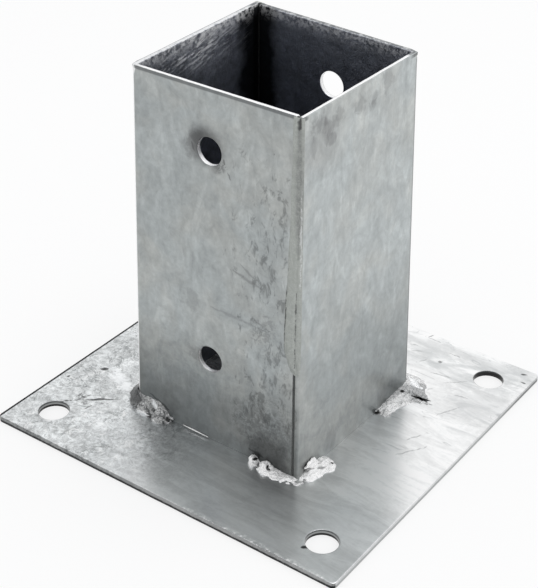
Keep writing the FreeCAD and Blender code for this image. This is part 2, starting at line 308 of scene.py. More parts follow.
class ZincEffects:
    """The shared effects of hot-dip zinc on sheet and weld metal."""

    def __init__(self) -> None:
        """Build every group."""
        self.clouds = self._make_clouds()
        self.grain = self._make_grain()
        self.worms = self._make_worms()
        self.flecks = self._make_flecks()
        self.runs = self._make_runs()
        self.line = self._make_line()
        self.spot = self._make_spot()

    @staticmethod
    def _make_clouds() -> EffectGroup:
        """Patches of duller and brighter zinc with fairly firm borders, and a finer mottling.

        Returns:
            The group.
        """
        group = EffectGroup("zinc_clouds", {"Vector": ORIGIN, "Size": 60.0},
                            {"Patch": VALUE, "Mottle": VALUE})
        g, source = group.graph, group.source
        patch = g.noise(source["Vector"], source["Size"], 5.0, 0.62, 0.9)
        finer = g.times(source["Size"], 5.0)
        mottle = g.noise(source["Vector"], finer, 5.0, 0.66, 0.5)
        group.put_out(Patch=g.ramp(patch, 0.38, 0.62), Mottle=g.ramp(mottle, 0.28, 0.72))
        return group

    @staticmethod
    def _make_grain() -> EffectGroup:
        """Frosty crystals: a fine crumpled relief with thin dark seams.

        Returns:
            The group.
        """
        group = EffectGroup("zinc_grain", {"Vector": ORIGIN, "Size": 500.0},
                            {"Grain": VALUE, "Crack": VALUE})
        g, source = group.graph, group.source
        fine = g.noise(source["Vector"], source["Size"], 6.0, 0.78, 0.7)
        wide = g.times(source["Size"], 0.3)
        level = g.noise(source["Vector"], wide, 5.0, 0.7, 1.2)
        away = g.positive(g.minus(level, 0.5))
        crack = g.ramp(away, 0.0, 0.022, 1.0, 0.0)
        group.put_out(Grain=g.ramp(fine, 0.3, 0.7), Crack=crack)
        return group

    @staticmethod
    def _make_worms() -> EffectGroup:
        """Short curved marks that come in patches.

        Returns:
            The group.
        """
        inputs = {"Vector": ORIGIN, "Size": 40.0, "Width": 0.012, "Cover": 0.5}
        group = EffectGroup("zinc_worms", inputs, {"Mark": VALUE})
        g, source = group.graph, group.source
        line = g.noise(source["Vector"], source["Size"], 2.0, 0.5, 1.0)
        away = g.positive(g.minus(line, 0.5))
        mark = g.math("SUBTRACT", 1.0, g.math("DIVIDE", away, source["Width"]), clamp=True)
        patch = g.noise(source["Vector"], g.times(source["Size"], 1.3), 3.0, 0.6)
        limit = g.minus(0.92, g.times(source["Cover"], 0.5))
        here = g.math("MULTIPLY", g.minus(patch, limit), 8.0, clamp=True)
        group.put_out(Mark=g.times(mark, here))
        return group

    @staticmethod
    def _make_flecks() -> EffectGroup:
        """Small dark specks and short dashes, denser where the cover is high.

        Returns:
            The group.
        """
        inputs = {"Vector": ORIGIN, "Size": 220.0, "Cover": 0.35}
        group = EffectGroup("zinc_flecks", inputs, {"Fleck": VALUE})
        g, source = group.graph, group.source
        speck = g.noise(source["Vector"], source["Size"], 3.0, 0.7, 0.6)
        limit = g.minus(0.86, g.times(source["Cover"], 0.36))
        fleck = g.math("MULTIPLY", g.minus(speck, limit), 9.0, clamp=True)
        group.put_out(Fleck=fleck)
        return group

    @staticmethod
    def _make_runs() -> EffectGroup:
        """Faint upright streaks where the molten zinc ran off.

        Returns:
            The group.
        """
        inputs = {"Vector": ORIGIN, "Size": 130.0}
        group = EffectGroup("zinc_runs", inputs, {"Run": VALUE})
        g, source = group.graph, group.source
        squash = g.vector("MULTIPLY", source["Vector"], (1.0, 1.0, 0.12))
        run = g.noise(squash, source["Size"], 5.0, 0.66, 0.3)
        group.put_out(Run=g.ramp(run, 0.32, 0.68))
        return group

    @staticmethod
    def _make_line() -> EffectGroup:
        """One tapering scratch between two points, a little uneven along its sides.

        Returns:
            The group.
        """
        inputs = {"Vector": ORIGIN, "Start": ORIGIN, "End": (0.0, 0.0, 0.01), "Width": 0.0005}
        group = EffectGroup("zinc_line", inputs, {"Mark": VALUE})
        g, source = group.graph, group.source
        shake = g.add("ShaderNodeTexNoise", {"Vector": source["Vector"], "Scale": 420.0,
                                             "Detail": 3.0})
        offset = g.vector("ADD", shake.outputs["Color"], (-0.5, -0.5, -0.5))
        place = g.vector("ADD", source["Vector"], g.scaled(offset, 1.6 * MM))
        along = g.vector("SUBTRACT", source["End"], source["Start"])
        away = g.vector("SUBTRACT", place, source["Start"])
        share = g.math("DIVIDE", g.dot(away, along), g.dot(along, along), clamp=True)
        gap = g.length(g.vector("SUBTRACT", away, g.scaled(along, share)))
        taper = g.times(share, g.flip(share), 4.0)
        width = g.times(source["Width"], g.times_plus(taper, 0.75, 0.25))
        mark = g.math("SUBTRACT", 1.5, g.math("DIVIDE", gap, width), clamp=True)
        group.put_out(Mark=mark)
        return group

    @staticmethod
    def _make_spot() -> EffectGroup:
        """A soft round patch about a point, with an uneven border.

        Returns:
            The group.
        """
        inputs = {"Vector": ORIGIN, "Centre": ORIGIN, "Radius": 0.01, "Ragged": 0.3}
        group = EffectGroup("zinc_spot", inputs, {"Mark": VALUE})
        g, source = group.graph, group.source
        gap = g.length(g.vector("SUBTRACT", source["Vector"], source["Centre"]))
        share = g.math("DIVIDE", gap, source["Radius"])
        ragged = g.minus(g.noise(source["Vector"], 260.0, 4.0, 0.65, 0.4), 0.5)
        edge = g.times_plus(ragged, g.times(source["Ragged"], 3.0), share)
        group.put_out(Mark=g.ramp(edge, 0.35, 1.0, 1.0, 0.0))
        return group


@dataclass(frozen=True)
class MarkOrPaintedLight:
    """One scratch, soft patch, patch of painted shade or streak of painted highlight at a known
    place, in millimetres.

    A scratch has an end as well as a start. The strength is how far it pulls the tone. A patchy
    one is broken up, and one that goes through marks whatever metal stands over its place.
    """

    start: Point3
    size: float
    tone: float
    strength: float = 1.0
    end: Point3 | None = None
    ragged: float = 0.9
    patchy: bool = False
    through: bool = False

    def apply(self, g: Graph, effects: ZincEffects, place: Socket, colour: Socket) -> Socket:
        """Lay the mark or painted light over a colour.

        Args:
            g: The material's graph.
            effects: The shared zinc effects.
            place: The object coordinates.
            colour: The colour so far.

        Returns:
            The new colour.
        """
        start = tuple(value * MM for value in self.start)
        if self.through:
            climb = g.minus(g.split(place)[2], start[2])
            place = g.vector("ADD", place, g.scaled(PIT_SLANT, climb))
        if self.end is None:
            mark = effects.spot.use(g, Vector=place, Centre=start, Radius=self.size * MM,
                                    Ragged=self.ragged)
        else:
            end = tuple(value * MM for value in self.end)
            mark = effects.line.use(g, Vector=place, Start=start, End=end,
                                    Width=self.size * MM / 2)
        share = g.times(mark.outputs[0], self.strength)
        if self.patchy:
            broken = g.ramp(g.noise(place, 520.0, 4.0, 0.7, 0.6), 0.40, 0.56)
            share = g.times(share, broken)
        return g.mix(share, colour, (self.tone, self.tone * 1.02, self.tone * 1.03))


def on_plate(at: Point2, size: float, tone: float, strength: float,
             end: Point2 | None = None, **more: float) -> MarkOrPaintedLight:
    """A mark or painted light on the plate's top."""
    return MarkOrPaintedLight((*at, PLATE_TOP), size, tone, strength, end and (*end, PLATE_TOP), **more)


def on_weld(at: Point2, size: float, tone: float, strength: float,
            end: Point2 | None = None, **more: float) -> MarkOrPaintedLight:
    """A mark or painted light on whatever weld metal stands over a place on the plate."""
    return on_plate(at, size, tone, strength, end, through=True, **more)


def on_wall(at: Point2, size: float, tone: float, strength: float,
            end: Point2 | None = None, **more: float) -> MarkOrPaintedLight:
    """A mark or painted light on the drilled wall, from the place across it and the height."""
    face = -HALF_SLEEVE / MM
    return MarkOrPaintedLight((at[0], face, at[1]), size, tone, strength, end and (end[0], face, end[1]),
                   **more)


# Finishes

@dataclass(frozen=True)
class SheetZinc:
    """Zinc on the sleeve's sheet: dull and cloudy outside, darker inside with painted shade,
    bright on cut edges.
    """

    name: str
    marks_and_painted_light: tuple[MarkOrPaintedLight, ...]
    foot: float
    rim: float
    lean: Point2
    turned: bool
    cool: Colour = (0.398, 0.426, 0.429)
    warm: Colour = (0.416, 0.431, 0.421)
    dark: Colour = (0.300, 0.322, 0.326)
    inside: Colour = (0.34, 0.36, 0.41)
    edge: Colour = (0.95, 0.95, 0.95)
    rubbed_edge: Colour = (0.50, 0.52, 0.53)
    back_edge: Colour = (0.62, 0.64, 0.65)
    dirty_edge: Colour = (0.20, 0.21, 0.22)
    rim_shade_line: Colour = (0.10, 0.105, 0.11)
    bend_shade_line: Colour = (0.06, 0.065, 0.065)
    shadow: Colour = (0.03, 0.032, 0.035)
    corner_shade: Colour = (0.022, 0.024, 0.028)
    roughness: float = 0.34

    def material(self, effects: ZincEffects) -> bpy.types.Material:
        """Build the finish.

        Args:
            effects: The shared zinc effects.

        Returns:
            The material.
        """
        material, g, shader, _ = new_material(self.name)
        place = g.add("ShaderNodeTexCoord").outputs["Object"]
        x, y, z = g.split(place)
        lean = g.ramp(z, self.foot, self.rim, *self.lean, smooth=False)
        sign = 0.5 if self.turned else -0.5
        share_x = g.times_plus(x, sign / HALF_SLEEVE, 0.5)
        share_y = g.times_plus(y, sign / HALF_SLEEVE, 0.5)
        share = g.times(share_x, share_y)
        lean = g.times(lean, share)
        climb = g.ramp(z, self.foot, self.rim, 0.0, RIGHT_DROOP if self.turned else 0.0,
                       smooth=False)
        height_up = g.times_plus(climb, share, z)
        wide_x = g.positive(g.minus(x, lean))
        wide_y = g.positive(y)
        plain = g.ramp(g.minus(wide_x, wide_y), -0.0012, 0.0002)
        clouds = effects.clouds.use(g, Vector=place, Size=95.0)
        tone, spoiled = self._outside_tone(g, effects, place, clouds, plain)

        # A thin line of painted shade where each bend runs into the plain wall
        bend = g.times(g.ramp(g.plus(wide_x, wide_y), 0.0722, 0.073),
                       g.ramp(g.times(x, y), 0.0, 0.0005))
        normal = g.add("ShaderNodeNewGeometry").outputs["True Normal"]
        turned_back = g.ramp(g.positive(g.split(normal)[0]), 0.8, 0.94)
        tone = g.mix(g.times(bend, turned_back, 0.7), tone, self.bend_shade_line)

        # Inside of the socket, and the cut metal between the two skins
        reach = g.most(wide_x, wide_y)
        is_inside = g.ramp(reach, HALF_SOCKET + 0.0002, HALF_SOCKET + 0.0005, 1.0, 0.0)
        socket_tone, scuffed = self._socket_tone(g, place, x, y, height_up)
        tone = g.mix(is_inside, tone, socket_tone)
        at_rim = g.ramp(height_up, self.rim - 0.0014, self.rim - 0.0008)
        tone, cut = self._rim_tone(g, place, tone, reach, at_rim)

        rough = g.times_plus(clouds.outputs["Mottle"], 0.1, self.roughness)
        rough = g.times_plus(cut, 0.2, rough)
        height = g.times_plus(clouds.outputs["Mottle"], 0.7, g.times(spoiled, -0.8))
        surface(g, shader, tone, rough, height, 0.30)
        plain_metal = g.times(scuffed, is_inside)
        g.feed(shader.inputs["Metallic"], g.times_plus(plain_metal, -0.85, 1.0))
        return material

    def _outside_tone(self, g: Graph, effects: ZincEffects, place: Socket,
                      clouds: bpy.types.Node, plain: Socket) -> tuple[Socket, Socket]:
        """Colour of the outer faces: clouded zinc with runs, flecks, worm marks, listed marks and
        painted shade, and painted light on the plain walls.

        Args:
            g: The material's graph.
            effects: The shared zinc effects.
            place: The object coordinates.
            clouds: The clouds on this sheet.
            plain: 1 on the plain walls and 0 on the drilled ones.

        Returns:
            The colour, and how far flecks and marks have spoiled it.
        """
        x, _, z = g.split(place)
        runs = effects.runs.use(g, Vector=place, Size=230.0)

        # Zinc tone: cool and warm patches and faint runs, with the plain walls lifted brighter as
        # painted light
        tint = g.ramp(g.noise(place, 38.0, 3.0, 0.5, 0.8), 0.35, 0.65)
        tone = g.mix(tint, self.cool, self.warm)
        duller = g.times(g.flip(clouds.outputs["Patch"]), 0.38)
        tone = g.mix(duller, tone, self.dark)
        brushed = g.stretched(place, (0.5, 0.6, 0.8), (1.0, 1.0, 0.65))
        smear = g.ramp(g.noise(brushed, 105.0, 3.5, 0.58, 1.8), 0.3, 0.7, 0.89, 1.11, smooth=False)
        crossed = g.stretched(place, (-0.6, -0.5, 0.4), (1.0, 1.0, 0.4))
        stroke = g.ramp(g.noise(crossed, 420.0, 3.0, 0.6, 0.8), 0.3, 0.7, 0.95, 1.05, smooth=False)
        pale = g.ramp(g.noise(crossed, 95.0, 3.0, 0.5, 1.6), 0.55, 0.66, 1.0, 1.09)
        smear = g.times(smear, stroke, pale)
        shade = g.ramp(clouds.outputs["Mottle"], 0.0, 1.0, 0.91, 1.07, smooth=False)
        streak = g.ramp(runs.outputs["Run"], 0.0, 1.0, 0.975, 1.025, smooth=False)
        # Painted light: the plain walls 24 percent brighter than the drilled ones
        lift = g.times_plus(plain, 0.24, 1.0)
        tone = g.scaled(tone, g.times(shade, streak, smear, lift))

        # The drilled walls darken steadily to the foot, the plain walls less and later
        drilled_foot = g.times(g.ramp(z, 0.0, 0.048, 0.4, 1.0, smooth=False),
                               g.ramp(z, 0.035, 0.1, 1.07, 1.0))
        plain_foot = g.ramp(z, 0.0, 0.080, 0.64, 1.0, smooth=False)
        foot = g.blend(plain, drilled_foot, plain_foot)
        tone = g.scaled(tone, foot)

        # Flecks and curved marks, denser towards the front joint on the drilled wall
        near_joint = g.ramp(x, -0.010, 0.024)
        mid_height = g.times(g.ramp(z, 0.146, 0.118), g.ramp(z, 0.0, 0.03, 0.8, 1.0))
        busy = g.times(near_joint, mid_height, g.flip(plain))
        slant = g.stretched(place, (0.0, 0.6, 0.0), (1.0, 1.0, 0.46))
        flecks = effects.flecks.use(g, Vector=slant, Size=330.0,
                                    Cover=g.times_plus(busy, 0.6, 0.36))
        worms = effects.worms.use(g, Vector=place, Size=120.0, Width=0.02,
                                  Cover=g.times_plus(busy, 0.42, 0.44))
        spoiled = g.most(g.times(flecks.outputs["Fleck"], 0.66),
                         g.times(worms.outputs["Mark"], 0.24))
        tone = g.mix(spoiled, tone, g.scaled(tone, 0.42))
        for mark_or_light in self.marks_and_painted_light:
            tone = mark_or_light.apply(g, effects, place, tone)
        return (tone, spoiled)

    def _rim_tone(self, g: Graph, place: Socket, tone: Socket, reach: Socket,
                  at_rim: Socket) -> tuple[Socket, Socket]:
        """Colour of the cut metal between the two skins, and of the painted shade lines beside it.

        Args:
            g: The material's graph.
            place: The object coordinates.
            tone: The colour so far.
            reach: The distance out from the sleeve's axis, square on to its walls.
            at_rim: 1 on the cut rim and 0 below it.

        Returns:
            The colour, and where the metal is cut.
        """
        x, y, _ = g.split(place)
        at_front = g.ramp(y, -0.034, -0.036)
        at_back = g.ramp(y, 0.03, 0.034)
        near_front = g.most(g.times(at_front, 0.00005),
                            g.times(g.ramp(x, 0.034, 0.0355), 0.0003))
        torn = g.times(g.noise(place, 800.0, 3.0, 0.7), 0.0004)
        near_front = g.times(g.plus(near_front, torn), at_rim)
        outer = g.minus(HALF_SLEEVE - 0.00036, near_front)
        cut = g.times(g.ramp(reach, HALF_SOCKET + 0.0001, HALF_SOCKET + 0.0003),
                      g.ramp(g.minus(reach, outer), 0.0, 0.0002, 1.0, 0.0))
        patchy = g.ramp(g.noise(place, 420.0, 4.0, 0.7, 0.4), 0.30, 0.52)
        back = g.times(at_rim, g.most(g.ramp(x, -0.03, -0.034), at_back))
        patchy = g.most(patchy, g.flip(back))
        edge = g.mix(patchy, self.rubbed_edge, self.edge)
        edge = g.mix(g.times(back, 0.45), edge, self.back_edge)
        smudge = g.ramp(g.noise(place, 300.0, 5.0, 0.75, 0.6), 0.6, 0.46, 0.35, 0.95)
        far_rim = g.times(at_rim, at_back, smudge)
        edge = g.mix(far_rim, edge, self.dirty_edge)
        tone = g.mix(cut, tone, edge)

        # Painted shade: a dark line under the front rim, and another on the outer arris of the
        # back rims
        under = g.times(at_rim, at_front,
                        g.ramp(g.minus(reach, outer), 0.0001, 0.0003))
        far_line = g.times(back, g.ramp(reach, HALF_SLEEVE - 0.0005, HALF_SLEEVE - 0.0002))
        rim_shade = g.most(g.times(under, 0.7), g.times(far_line, 0.8))
        tone = g.mix(rim_shade, tone, self.rim_shade_line)
        corner = g.times(g.ramp(x, -0.0335, -0.0345), g.ramp(y, 0.0325, 0.0335))
        hidden = g.times(corner, g.flip(at_rim))
        tone = g.mix(g.times(hidden, is_inner_edge(g, reach)), tone, self.shadow)
        return (tone, cut)

    def _socket_tone(self, g: Graph, place: Socket, x: Socket, y: Socket,
                     z: Socket) -> tuple[Socket, Socket]:
        """Colour of the inside walls: blue-grey, with painted shade that deepens downwards and
        goes black at one corner, painted light on the -X wall, scuffed at the top.

        Args:
            g: The material's graph.
            place: The object coordinates.
            x: Their first part.
            y: Their second part.
            z: The height, with the rim's droop taken out.

        Returns:
            The colour, and how white the scuffs have made it.
        """
        mottle = g.ramp(g.noise(place, 160.0, 5.0, 0.7, 0.6), 0.3, 0.7, 0.78, 1.22)
        inside = g.joined(*self.inside)
        tone = g.scaled(inside, mottle)
        # Painted shade: black in the corner by the back seam, and deepening towards the socket's
        # foot
        gap_x = g.plus(x, HALF_SOCKET)
        gap_y = g.minus(HALF_SOCKET, y)
        gap = g.most(gap_x, g.times(gap_y, 0.75))
        uneven = g.times_plus(g.noise(place, 90.0, 3.0), 0.01, gap)
        corner_shade = g.ramp(uneven, 0.0105, 0.0165, 1.0, 0.0)
        tone = g.scaled(tone, g.ramp(z, 0.020, 0.090, 0.25, 1.0))
        tone = g.mix(g.times(corner_shade, 0.94), tone, self.corner_shade)
        slant = g.joined(x, g.times(y, 0.12), g.times_plus(y, -0.22, z))
        scuff = g.ramp(g.noise(slant, 1150.0, 4.0, 0.75, 0.5), 0.5, 0.6)
        on_plain = g.ramp(x, -0.034, -0.0352)
        area = g.times(g.ramp(z, self.rim - 0.02, self.rim - 0.003), on_plain)
        area = g.times(area, g.ramp(y, 0.034, 0.028), g.ramp(y, 0.024, -0.006, 0.35, 1.0))
        scuff = g.times(scuff, area)
        rub = g.times(g.ramp(z, self.rim - 0.007, self.rim - 0.0006),
                      g.ramp(g.noise(place, 420.0, 5.0, 0.78), 0.42, 0.56))
        white = g.most(scuff, g.times(rub, g.times_plus(on_plain, 0.4, 0.45)))
        # Painted light: the -X inside wall lifted brighter than the others
        tone = g.mix(on_plain, tone, g.scaled(tone, 1.35))
        return (g.mix(white, tone, WHITE), white)


@dataclass(frozen=True)
class PlateZinc:
    """Bright zinc on the base plate: frosty on one side, smooth and white on the other."""

    name: str
    marks_and_painted_light: tuple[MarkOrPaintedLight, ...]
    top: float
    half_length: float
    half_width: float
    white: Colour = (0.985, 0.99, 0.99)
    grey: Colour = (0.72, 0.74, 0.745)
    wall_shade: Colour = (0.52, 0.545, 0.56)
    black_side_shade: Colour = (0.012, 0.013, 0.014)
    right_side_shade: Colour = (0.36, 0.375, 0.375)
    far_right_side_shade: Colour = (0.14, 0.145, 0.145)
    patch: Colour = (0.60, 0.62, 0.625)
    sweep: Colour = (0.58, 0.60, 0.605)
    curl: Colour = (0.34, 0.355, 0.36)
    behind: Colour = (0.56, 0.58, 0.585)
    crack: Colour = (0.20, 0.215, 0.22)
    split: Colour = (0.14, 0.155, 0.16)
    bore_foot_shade: Colour = (0.02, 0.02, 0.02)
    bore: Colour = (0.32, 0.33, 0.33)
    far_bore_shade: Colour = (0.03, 0.03, 0.03)
    hole_rim_shade: Colour = (0.07, 0.075, 0.075)
    roughness: float = 0.29

    def material(self, effects: ZincEffects) -> bpy.types.Material:
        """Build the finish.

        Args:
            effects: The shared zinc effects.

        Returns:
            The material.
        """
        material, g, shader, _ = new_material(self.name)
        place = g.add("ShaderNodeTexCoord").outputs["Object"]
        x, y, _ = g.split(place)
        grain = effects.grain.use(g, Vector=place, Size=430.0)

        # Frosty grey towards -X, smooth white towards +X
        across = g.times_plus(g.noise(place, 45.0, 3.0), 0.02, x)
        frosty = g.ramp(across, -0.030, 0.020, 1.0, 0.0)
        tone = self._top_tone(g, effects, place, grain, frosty)
        for mark_or_light in self.marks_and_painted_light:
            tone = mark_or_light.apply(g, effects, place, tone)

        # Painted highlight: a few pale flecks on the top just above the front side
        arris_glint = g.times(g.ramp(g.plus(y, self.half_width), 0.0004, 0.003, 1.0, 0.0),
                         g.ramp(g.noise(place, 900.0, 4.0, 0.8, 0.5), 0.5, 0.62))
        arris_glint = g.times(arris_glint, g.ramp(x, -0.02, 0.04))
        tone = g.mix(g.times(arris_glint, 0.85), tone, WHITE)
        tone = self._side_tone(g, place, tone)

        rough = g.times_plus(g.times(grain.outputs["Grain"], frosty), 0.12, self.roughness)
        height = g.times(grain.outputs["Grain"], g.ramp(frosty, 0.25, 0.8, 0.0, 0.8))
        surface(g, shader, tone, rough, height, 0.35)
        g.feed(shader.inputs["Metallic"], g.times_plus(arris_glint, -0.75, 1.0))
        return material

    def _top_tone(self, g: Graph, effects: ZincEffects, place: Socket, grain: bpy.types.Node,
                  frosty: Socket) -> Socket:
        """Colour of the plate's top, with painted shade in front of the drilled wall and beside
        the plain wall, and swept behind.

        Args:
            g: The material's graph.
            effects: The shared zinc effects.
            place: The object coordinates.
            grain: The crystals on the plate.
            frosty: 1 where the zinc is frosty and 0 where it is smooth.

        Returns:
            The colour.
        """
        x, y, _ = g.split(place)
        clouds = effects.clouds.use(g, Vector=place, Size=60.0)
        drag = g.stretched(place, (0.0, 0.0, 0.62), (0.22, 1.0, 1.0))
        brushed = g.ramp(g.noise(drag, 130.0, 5.0, 0.7, 0.8), 0.34, 0.66)
        tone = g.mix(frosty, self.white, self.grey)
        patch = g.flip(clouds.outputs["Patch"])
        patch = g.times(patch, g.times_plus(frosty, 0.18, 0.12))
        tone = g.mix(patch, tone, self.patch)
        # Painted shade on the plate in front of the drilled wall and along the foot of the plain
        # wall
        in_front = g.times(g.ramp(y, -0.03, -0.042), g.ramp(x, -0.052, -0.022))
        beside = g.times(g.ramp(x, 0.034, 0.04), g.ramp(x, 0.056, 0.043), g.ramp(y, -0.07, -0.05),
                         g.ramp(y, 0.04, 0.02))
        tone = g.mix(g.times(g.most(in_front, beside), 0.33), tone, self.wall_shade)
        rub = g.times_plus(g.minus(brushed, 0.5), 0.24, 1.0)
        spread = g.times_plus(frosty, 0.66, 0.08)
        coarse = g.times_plus(g.minus(grain.outputs["Grain"], 0.45), spread, rub)
        tone = g.scaled(tone, coarse)
        wide = g.ramp(g.noise(place, 26.0, 4.0, 0.6, 1.0), 0.35, 0.65, 0.84, 1.08, smooth=False)
        tone = g.scaled(tone, g.blend(frosty, 1.0, wide))
        swept = g.stretched(place, (0.0, 0.0, 0.25), (0.35, 1.0, 1.0))
        sweep = g.ramp(g.noise(swept, 75.0, 6.0, 0.68, 1.2), 0.5, 0.66)
        at_back = g.ramp(y, -0.010, 0.050, 0.12, 0.60)
        sweep = g.times(sweep, at_back, g.flip(frosty))
        tone = g.mix(sweep, tone, self.sweep)
        curl = effects.worms.use(g, Vector=swept, Size=130.0, Width=0.020, Cover=0.86)
        curl = g.times(curl.outputs["Mark"], g.ramp(frosty, 0.4, 0.0, 0.0, 0.5))
        curl = g.times(curl, g.ramp(y, -0.02, 0.01))
        tone = g.mix(curl, tone, self.curl)
        far = g.minus(g.minus(y, 0.057), g.times(x, 0.1))
        grey_back = g.times(g.ramp(g.positive(far), 0.014, 0.004), g.ramp(x, -0.01, 0.02))
        grey_back = g.times(grey_back, g.ramp(g.noise(swept, 60.0, 5.0, 0.65, 0.8), 0.38, 0.56))
        tone = g.mix(g.times(grey_back, 0.55), tone, self.behind)
        crack = g.times(grain.outputs["Crack"], g.ramp(clouds.outputs["Mottle"], 0.35, 0.6),
                        frosty)
        tone = g.mix(g.times(crack, 0.55), tone, self.crack)
        long_crack = effects.grain.use(g, Vector=place, Size=170.0)
        split = g.times(long_crack.outputs["Crack"], g.ramp(clouds.outputs["Patch"], 0.55, 0.75))
        tone = g.mix(g.times(split, frosty, 0.6), tone, self.split)
        blotch = g.ramp(g.noise(place, 210.0, 5.0, 0.72, 1.0), 0.54, 0.66)
        return g.mix(g.times(blotch, frosty, 0.7), tone, self.white)

    def _side_tone(self, g: Graph, place: Socket, tone: Socket) -> Socket:
        """Colour of the sheared sides and the holes' walls, painted as shade by the way each
        faces: grey over black in front, mid grey on the right, dark in the bores.

        Args:
            g: The material's graph.
            place: The object coordinates.
            tone: The colour so far.

        Returns:
            The new colour.
        """
        x, y, z = g.split(place)
        normal = g.add("ShaderNodeNewGeometry").outputs["True Normal"]
        normal_x, normal_y, normal_z = g.split(normal)
        at_side = g.ramp(g.positive(normal_z), 0.86, 0.7)
        to_front = g.times(at_side, g.ramp(normal_y, -0.25, -0.5))
        to_left = g.times(at_side, g.ramp(normal_x, -0.25, -0.5))
        to_right = g.times(at_side, g.ramp(normal_x, 0.25, 0.5))
        outside = g.most(g.ramp(g.positive(x), self.half_length - 0.0012,
                                self.half_length - 0.0008),
                         g.ramp(g.positive(y), self.half_width - 0.0012, self.half_width - 0.0008))
        # Painted shade on the right side, grey with a darker far end
        right_tone = g.mix(g.ramp(y, 0.035, 0.060), self.right_side_shade, self.far_right_side_shade)
        lower = g.times(to_right, outside, g.ramp(z, 0.0018, 0.0012))
        upper = g.times(to_right, outside, 0.45)
        tone = g.mix(g.most(lower, upper), tone, right_tone)
        arris = g.times(g.ramp(g.positive(normal_z), 0.97, 0.9),
                        g.ramp(z, self.top - 0.0009, self.top - 0.0005))
        # Painted shade on the front side and the arris above it
        front_side = g.times(g.most(to_front, arris), g.ramp(normal_y, -0.2, -0.4))
        tone = g.mix(g.times(front_side, outside), tone, g.scaled(tone, 0.36))
        # Painted shade, near black, on the lower front side and on the left side
        ragged = g.times_plus(g.noise(place, 350.0, 4.0, 0.7), 0.001, z)
        low_side = g.times(to_front, g.ramp(ragged, 0.0019, 0.0014))
        dark_side = g.times(g.most(low_side, to_left), outside)
        tone = g.mix(dark_side, tone, self.black_side_shade)
        # A thin line of painted shade along the top at the plate's -X end
        left_line = g.flip(to_left)
        left_line = g.times(left_line,
                            g.ramp(g.plus(x, self.half_length), 0.0009, 0.0013, 1.0, 0.0))
        tone = g.mix(left_line, tone, self.black_side_shade)
        # Painted shade on the bolt holes' walls: black at the foot, and black all over in the far
        # hole
        bore = g.times(at_side, g.flip(outside))
        bore_tone = g.mix(g.ramp(z, 0.0008, 0.0014), self.bore_foot_shade, self.bore)
        far_bore_shade = g.ramp(g.math("MINIMUM", x, y), 0.040, 0.045)
        bore_tone = g.mix(far_bore_shade, bore_tone, self.far_bore_shade)
        tone = g.mix(bore, tone, bore_tone)
        # Painted shade round the top edge of each bolt hole
        hole_rim_shade = g.times(arris, g.flip(outside))
        return g.mix(g.times(hole_rim_shade, 0.8), tone, self.hole_rim_shade)


@dataclass(frozen=True)
class WeldZinc:
    """Lumpy weld metal under bright zinc, with dark pits."""

    name: str
    bright: Colour
    shade: Colour
    pit: Colour
    roughness: float
    pit_cover: float
    bump_strength: float
    shade_share: float = 0.5
    metallic: float = 1.0
    marks_and_painted_light: tuple[MarkOrPaintedLight, ...] = ()
    mottle_size: float = 380.0

    def material(self, effects: ZincEffects) -> bpy.types.Material:
        """Build the finish.

        Args:
            effects: The shared zinc effects.

        Returns:
            The material.
        """
        material, g, shader, _ = new_material(self.name)
        place = g.add("ShaderNodeTexCoord").outputs["Object"]
        clouds = effects.clouds.use(g, Vector=place, Size=self.mottle_size)
        pits = effects.flecks.use(g, Vector=place, Size=520.0, Cover=self.pit_cover)
        duller = g.flip(clouds.outputs["Patch"])
        mottled = g.times(g.most(duller, clouds.outputs["Mottle"]), self.shade_share)
        tone = g.mix(mottled, self.bright, self.shade)
        tone = g.mix(pits.outputs["Fleck"], tone, self.pit)
        for mark_or_light in self.marks_and_painted_light:
            tone = mark_or_light.apply(g, effects, place, tone)
        rough = g.times_plus(clouds.outputs["Mottle"], 0.15, self.roughness)
        height = g.plus(clouds.outputs["Mottle"], g.times(pits.outputs["Fleck"], -1.5))
        surface(g, shader, tone, rough, height, self.bump_strength, 0.4 * MM)
        level = g.split(tone)[1]
        g.feed(shader.inputs["Metallic"], g.ramp(level, 0.10, 0.40, 1.0, self.metallic))
        return material


def is_inner_edge(g: Graph, reach: Socket) -> Socket:
    """1 on metal that lies below the sleeve's outer skin."""
    return g.ramp(reach, HALF_SLEEVE - 0.0004, HALF_SLEEVE - 0.0006)


def surface(g: Graph, shader: bpy.types.Node, tone: Socket, rough: Socket, relief: Socket,
            strength: float, depth: float = 0.2 * MM) -> None:
    """Wire a finish's tone, roughness and relief into its shader.

    Args:
        g: The material's graph.
        shader: The Principled node.
        tone: The base colour.
        rough: The roughness.
        relief: The height that the bump is read from.
        strength: The bump's strength.
        depth: The relief's full depth.
    """
    feeds = {"Strength": strength, "Distance": depth, "Height": relief}
    g.feed(shader.inputs["Base Color"], tone)
    g.feed(shader.inputs["Roughness"], rough)
    g.feed(shader.inputs["Normal"], g.add("ShaderNodeBump", feeds).outputs[0])


def new_material(name: str) -> tuple[bpy.types.Material, Graph, bpy.types.Node, bpy.types.Node]:
    """Make a node material with an empty Principled shader.

    Args:
        name: The material's name.

    Returns:
        The material, its graph, its Principled node and its output node.
    """
    material = bpy.data.materials.new(name)
    material.use_nodes = True
    material.node_tree.nodes.clear()
    graph = Graph(material.node_tree)
    shader = graph.add("ShaderNodeBsdfPrincipled")
    output = graph.add("ShaderNodeOutputMaterial", {"Surface": shader.outputs[0]})
    return material, graph, shader, output


# Sheet metal

def circle(centre: Point2, radius: float, count: int = 56) -> Loop:
    """A clockwise ring of points, which bounds a hole."""
    turn = -2 * math.pi / count
    return [(centre[0] + radius * math.cos(turn * i), centre[1] + radius * math.sin(turn * i))
            for i in range(count)]


